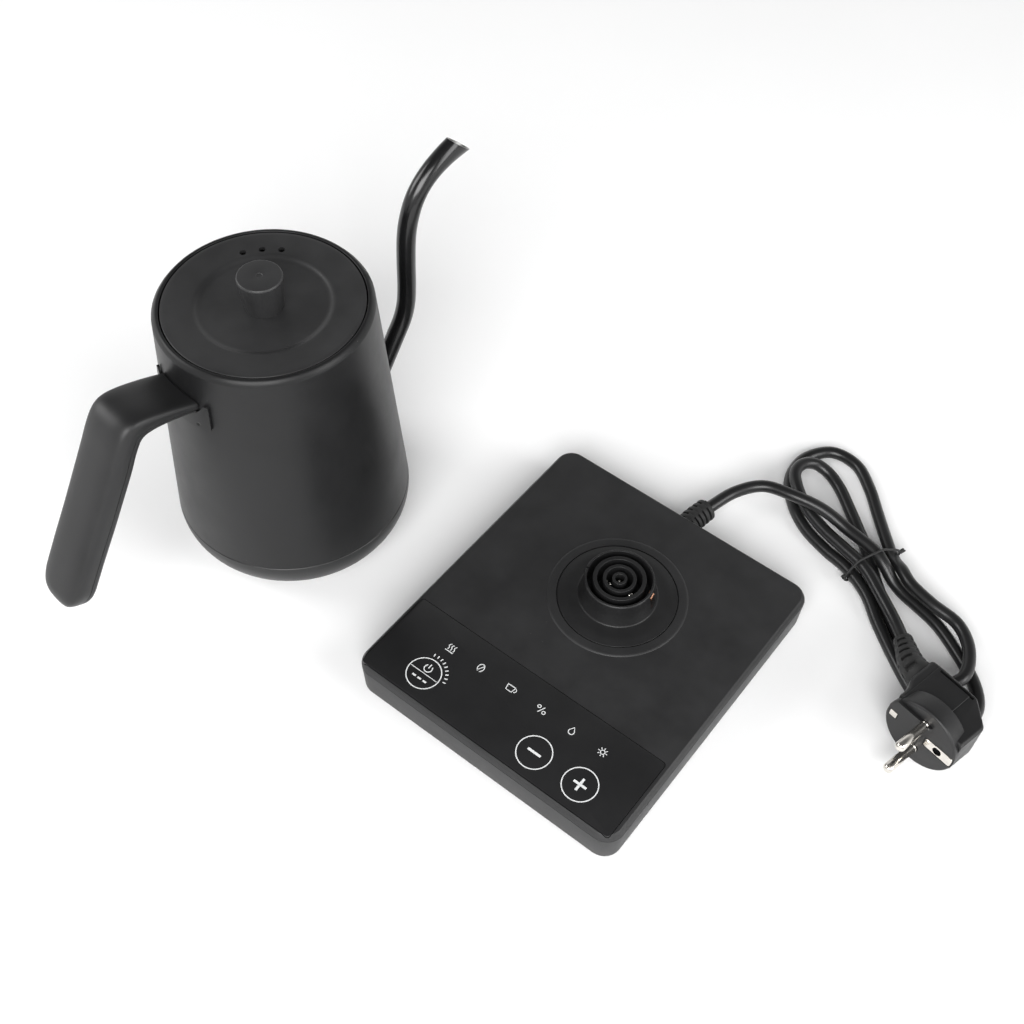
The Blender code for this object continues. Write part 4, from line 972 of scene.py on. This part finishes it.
def base_pieces():
    seam = SEAM_Z + GAP / 2
    under = BASE_TOP - 2.2
    edge = [(2.4, seam + 0.1), (0.0, seam, 0.12), (0.85, 20.0, 0.5), (1.45, 20.75, 0.12),
            (1.94, BASE_TOP, 0.12), (3.0, BASE_TOP)]
    levels = [(3.5, under), *soften(edge, closed=False)]
    rise = soften([(25.0, under + 0.5), (25.0, 21.8), (FLANGE_RADIUS + 1.6, 21.8, 0.4), (32.5, 21.76, 0.5),
                   (33.4, BASE_TOP - 0.05, 0.2), (33.4, under + 0.5)], 0.1, 4)
    bosses = [cylinder(3.6, 5.3, under + 0.6, spot, 32) for spot in SCREW_SPOTS]
    bosses.append(moved(lathe(rise, ROUND), (*CONNECTOR, 0)))
    well = [(0, 10.0), (20.3, 10.0), (20.3, 20.4), (FLANGE_RADIUS + GAP, 20.4), (FLANGE_RADIUS + GAP, 30.0),
            (0, 30.0)]
    cuts = [moved(lathe(well, ROUND, False), (*CONNECTOR, 0))]
    cuts += [cylinder(1.7, 4.0, 14.0, spot, 24) for spot in SCREW_SPOTS]
    cuts.append(slab(PANEL_X, PANEL_Y, [(-GAP, BASE_TOP - 1.2), (-GAP, 30.0)], 1.7))
    piece("base_top", loft([base_ring(*level) for level in levels]), "base_plastic", "base", "base_top_cover",
          cuts=[('UNION', merged(bosses)), less(*cuts)], sharp=24.0)

    low = SEAM_Z - GAP / 2
    edge = [(2.4, low), (0.0, low, 0.12), (0.7, 1.9, 0.5), (1.6, 1.0, 0.4), (6.0, 1.0)]
    levels = [(3.4, 3.0), *soften(edge, closed=False)[:-1]]
    pads = merged([cylinder(5.2, 2.0, 5.0, spot, 32) for spot in SCREW_SPOTS])
    wells = [moved(lathe([(0, 0), (3.4, 0), (3.4, 3.4), (1.9, 3.4), (1.9, 8), (0, 8)], 32, False), (*spot, 0))
             for spot in SCREW_SPOTS]
    wells += [cylinder(6.3, 0, 1.9, spot, 48) for spot in PAD_SPOTS]
    wells.append(moved(cylinder(5.9, 70.0, 90.0), (0.8, 0, 11.5), Matrix.Rotation(-pi / 2, 3, 'X')))
    piece("base_tray", loft([base_ring(*level) for level in levels]), "base_plastic", "base",
          "base_lower_housing", cuts=[('UNION', pads), less(*wells)], sharp=24.0)
    for number, spot in enumerate(PAD_SPOTS, 1):
        foot = turned([(0, 0), (5.5, 0, 0.4), (6.0, 0.5, 0.3), (6.0, 1.6, 0.1), (0, 1.6)], 0.3, SMALL, False)
        piece(f"foot_pad_{number}", moved(foot, (*spot, 0)), "rubber", "base", f"rubber_foot_{number}")
    for number, spot in enumerate(SCREW_SPOTS, 1):
        screw(f"tray_screw_{number}", Vector((*spot, 3.1)), DOWN, 2.9, 1.4, 8.5,
              f"base_screw_{number}", "base")

    levels = [(0.0, BASE_TOP - 0.9), (0.0, BASE_TOP - 0.15), (0.05, BASE_TOP - 0.05), (0.15, BASE_TOP)]
    piece("glass_panel", slab(PANEL_X, PANEL_Y, levels, 1.8), "panel_gloss", "base", "touch_panel")


def ribbon(points, width, closed=False):
    """Flat printed line, just proud of the panel."""
    places = [Vector(p) for p in points]
    count = len(places)
    rims = []
    for i, here in enumerate(places):
        before = places[i - 1] if closed or i else here
        after = places[(i + 1) % count] if closed or i < count - 1 else here
        along = (after - before).normalized()
        side = Vector((-along.y, along.x)) * width / 2
        rims.append((here - side, here + side))
    low, high = BASE_TOP - 0.02, BASE_TOP + 0.035
    rings = [[(*one, low), (*other, low), (*other, high), (*one, high)] for one, other in rims]
    return loft(rings, looped=closed)


def arc(centre, radius, start, stop, steps=48):
    return [polar(radius, start + (stop - start) * i / steps, centre) for i in range(steps + 1)]


def ring_mark(centre, radius, width):
    return ribbon(arc(centre, radius, 0, 360, 96)[:-1], width, closed=True)


def dash(x, y, length, width=0.45, turn=0.0):
    step = Vector((cos(radians(turn)), sin(radians(turn)))) * length / 2
    middle = Vector((x, y))
    return ribbon([tuple(middle - step), tuple(middle + step)], width)


def panel_marks():
    """Generic key marks: a ringed power key, minus, plus and six small symbols for the programmes."""
    power, minus, plus = (-42.5, -66.5), (20.1, -66.9), (44.5, -66.8)
    line = 0.5
    shapes = [ring_mark(centre, 8.0, line) for centre in (power, minus, plus)]
    shapes.append(dash(minus[0], minus[1], 6.9, 1.15))
    shapes += [dash(plus[0], plus[1], 6.6, 1.15), dash(plus[0], plus[1] + 1.95, 2.6, 1.15, 90),
               dash(plus[0], plus[1] - 1.95, 2.6, 1.15, 90)]
    shapes.append(dash(power[0], power[1], 14.6, 0.35))
    shapes += [ribbon(arc((power[0], power[1] + 3.1), 1.9, -230, 50, 24), 0.5),
               dash(power[0], power[1] + 4.4, 2.4, 0.5, 90)]
    shapes += [dash(power[0] + x, power[1] - 3.2, 1.9, 0.9) for x in (-3.0, 0.0, 3.0)]
    for i in range(9):
        angle = 102.0 - 11.5 * i
        shapes.append(dash(*polar(10.4, angle, power), 1.5, 0.55, angle))
    y = SYMBOL_ROW
    for step in (-1.5, 0.0, 1.5):                       # rising steam
        x = -41.0 + step
        shapes.append(ribbon([(x + 0.35 * sin(t * 0.9), y - 1.6 + 0.4 * t) for t in range(9)], 0.42))
    shapes.append(dash(-41.0, y - 2.3, 4.4, 0.42))
    leaf = arc((-24.2 - 0.9, y), 2.4, -55, 55, 16) + arc((-24.2 + 0.9, y), 2.4, 125, 235, 16)
    shapes += [ribbon(leaf, 0.42), dash(-24.2, y - 0.2, 3.6, 0.35, 62)]
    shapes += [ribbon([(-9.5, y + 1.3), (-9.0, y - 1.4), (-6.0, y - 1.4), (-5.5, y + 1.3)], 0.45),
               dash(-7.5, y + 1.4, 4.4, 0.42), ribbon(arc((-5.3, y + 0.1), 1.0, -80, 80, 12), 0.4)]
    shapes += [ring_mark((8.2, y + 0.9), 0.75, 0.4), dash(9.9, y, 4.0, 0.42, 66),
               ring_mark((11.6, y - 0.7), 0.75, 0.4)]
    drop = [(26.7, y + 2.0)] + arc((26.7, y - 0.5), 1.35, 30, -210, 20)
    shapes.append(ribbon(drop, 0.4, closed=True))
    shapes.append(ring_mark((43.2, y), 1.0, 0.4))
    shapes += [dash(*polar(1.9, a, (43.2, y)), 0.8, 0.38, a) for a in range(0, 360, 45)]
    mesh = to_mesh("panel_marks", merged(shapes))
    mesh.transform(BASE)
    place_object("panel_marks", mesh, [INK], "base")


def radial(angle_degrees, radius, across, z):
    angle = radians(angle_degrees)
    return (CONNECTOR[0] + radius * cos(angle) - across * sin(angle),
            CONNECTOR[1] + radius * sin(angle) + across * cos(angle), z)


def connector_pieces():
    profile = [(2.2, 10.0, 0.1), (2.2, BOSS_TOP, 0.3)]
    for inner, outer in reversed(GROOVES):
        profile += [(inner, BOSS_TOP, 0.3), (inner, GROOVE_FLOOR, 0.2), (outer, GROOVE_FLOOR, 0.2),
                    (outer, BOSS_TOP, 0.3)]
    profile += [(16.0, BOSS_TOP, 0.4), (16.5, BOSS_TOP - 0.6, 0.4), (16.8, 30.0, 2.0), (18.6, 23.3, 0.7),
                (24.4, 22.6, 1.6), (27.3, 21.9, 0.8), (FLANGE_RADIUS - 0.2, 21.7, 0.2),
                (FLANGE_RADIUS - 0.2, 20.7, 0.1), (20.0, 20.7, 0.1), (20.0, 14.0, 0.3), (17.0, 10.0, 0.3)]

    def opening(azimuth, near, far, half, low, high):
        """Block that points away from the connector's axis."""
        plan = ((near, -half), (far, -half), (far, half), (near, half))
        return loft([[radial(azimuth, *spot, z) for spot in plan] for z in (low, high)])

    slot = opening(EARTH_AZIMUTH, 14.0, 20.0, 2.3, 25.5, 33.6)
    notch = opening(196.0, 15.0, 17.0, 0.5, 34.9, 37.0)
    boss = moved(turned(profile, 0.3, ROUND, rounds=4), (*CONNECTOR, 0))
    piece("connector_post", boss, "black_plastic", "base", "connector_boss",
          cuts=[less(slot, notch)], sharp=30.0)

    for name, node, radii, start, stop in (
            ("contact_arc_outer", "contact_strip_outer", (9.7, 10.2), -55.0, 15.0),
            ("contact_arc_inner", "contact_strip_inner", (5.4, 5.9), -160.0, -80.0)):
        rings = []
        for step in range(33):
            part = step / 32
            angle = start + (stop - start) * part
            bulge = -0.9 * sin(pi * part) ** 6
            crown = 31.6 + 2.6 * exp(-((part - 0.5) / 0.16) ** 4)
            rings.append([radial(angle, radii[i] + (bulge if z > 30 else 0.0), 0, z) for i, z in
                          ((0, 24.5), (1, 24.5), (1, 29.5), (1, crown - 0.5), (1, crown), (0, crown),
                           (0, crown - 0.5), (0, 29.5))])
        piece(name, loft(rings), "nickel", "base", node)
    pin = turned([(0, 10.5), (1.9, 10.5), (1.9, 14.0), (1.1, 14.0), (1.1, 33.2, 0.7), (0, 34.0)],
                 0.2, 32, False)
    piece("centre_contact", moved(pin, (*CONNECTOR, 0)), "nickel", "base", "contact_pin")

    leaf = [(14.1, 24.5), (14.2, 27.6, 0.8), (15.7, 29.3, 0.8), (17.2, 31.0, 0.9), (16.5, 32.4, 0.7),
            (14.6, 33.2), (14.5, 32.6), (16.0, 32.0, 0.4), (16.5, 31.1, 0.4), (15.2, 29.7, 0.6),
            (13.7, 27.9, 0.6), (13.6, 24.5)]
    outline = soften(leaf, 0.15, 4)
    sides = [[radial(EARTH_AZIMUTH, r, across, z) for r, z in outline] for across in (-1.7, -1.5, 1.5, 1.7)]
    piece("earth_leaf", loft(sides), "copper", "earth_contact", "earth_contact", sharp=40.0)


body_piece()
foot_piece()
kettle_inside()
spout_piece()
grip_pieces()
lid_pieces()
base_pieces()
panel_marks()
connector_pieces()

STAYING = {"heat_spreader": "aluminium", "heating_element": "aluminium", "thermal_cutout": "black_plastic",
           "touch_board": "board_green", "control_board": "board_green", "relay": "black_plastic",
           "transformer": "brass", "filter_capacitor": "aluminium", "buzzer": "black_plastic"}
for name, slot in STAYING.items():
    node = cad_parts[name]
    for holder in node.material_slots:
        holder.material = LOOKS[slot]


# ---------------------------------------------------------------- studio

def studio():
    floor_mesh = bpy.data.meshes.new("studio_floor")
    floor_mesh.from_pydata([(*spot, 0) for spot in corners(FLOOR_REACH, FLOOR_REACH)], [], [(0, 1, 2, 3)])
    pale = surface("pale_floor", (0.97, 0.97, 0.97), 0.7, spread=0.01, mottle=3.0, bump=0.02)
    floor_mesh.materials.append(pale)
    added("studio_floor", floor_mesh)

    world = bpy.data.worlds.new("studio_world")
    world.use_nodes = True
    tree = world.node_tree
    link = tree.links.new
    place = tree.nodes.new("ShaderNodeTexCoord")
    split = tree.nodes.new("ShaderNodeSeparateXYZ")
    link(place.outputs["Generated"], split.inputs["Vector"])
    height = tree.nodes.new("ShaderNodeMapRange")
    height.interpolation_type = 'SMOOTHSTEP'
    for socket, value in (("From Min", 0.25), ("From Max", 0.72), ("To Min", SKY_LOW), ("To Max", SKY_HIGH)):
        height.inputs[socket].default_value = value
    link(split.outputs["Z"], height.inputs["Value"])
    sky = tree.nodes["Background"]
    sky.inputs["Color"].default_value = (1.0, 1.0, 1.0, 1.0)
    link(height.outputs["Result"], sky.inputs["Strength"])
    bpy.context.scene.world = world
    bpy.context.scene.view_settings.view_transform = 'Standard'

    middle = Vector((0.0, 0.02, 0.05))
    for name, spot, size, power in (("key_softbox", (0.9, -1.6, 1.5), (1.8, 1.2), 58.0),
                                    ("left_softbox", (-1.7, -0.9, 1.2), (1.0, 1.2), 18.0),
                                    ("right_softbox", (1.7, 0.3, 0.9), (0.8, 1.2), 16.0)):
        data = bpy.data.lights.new(name, 'AREA')
        data.shape = 'RECTANGLE'
        data.size, data.size_y = size
        data.energy = power
        lamp = added(name, data)
        lamp.location = spot
        lamp.rotation_euler = (middle - Vector(spot)).to_track_quat('-Z', 'Y').to_euler()


studio()
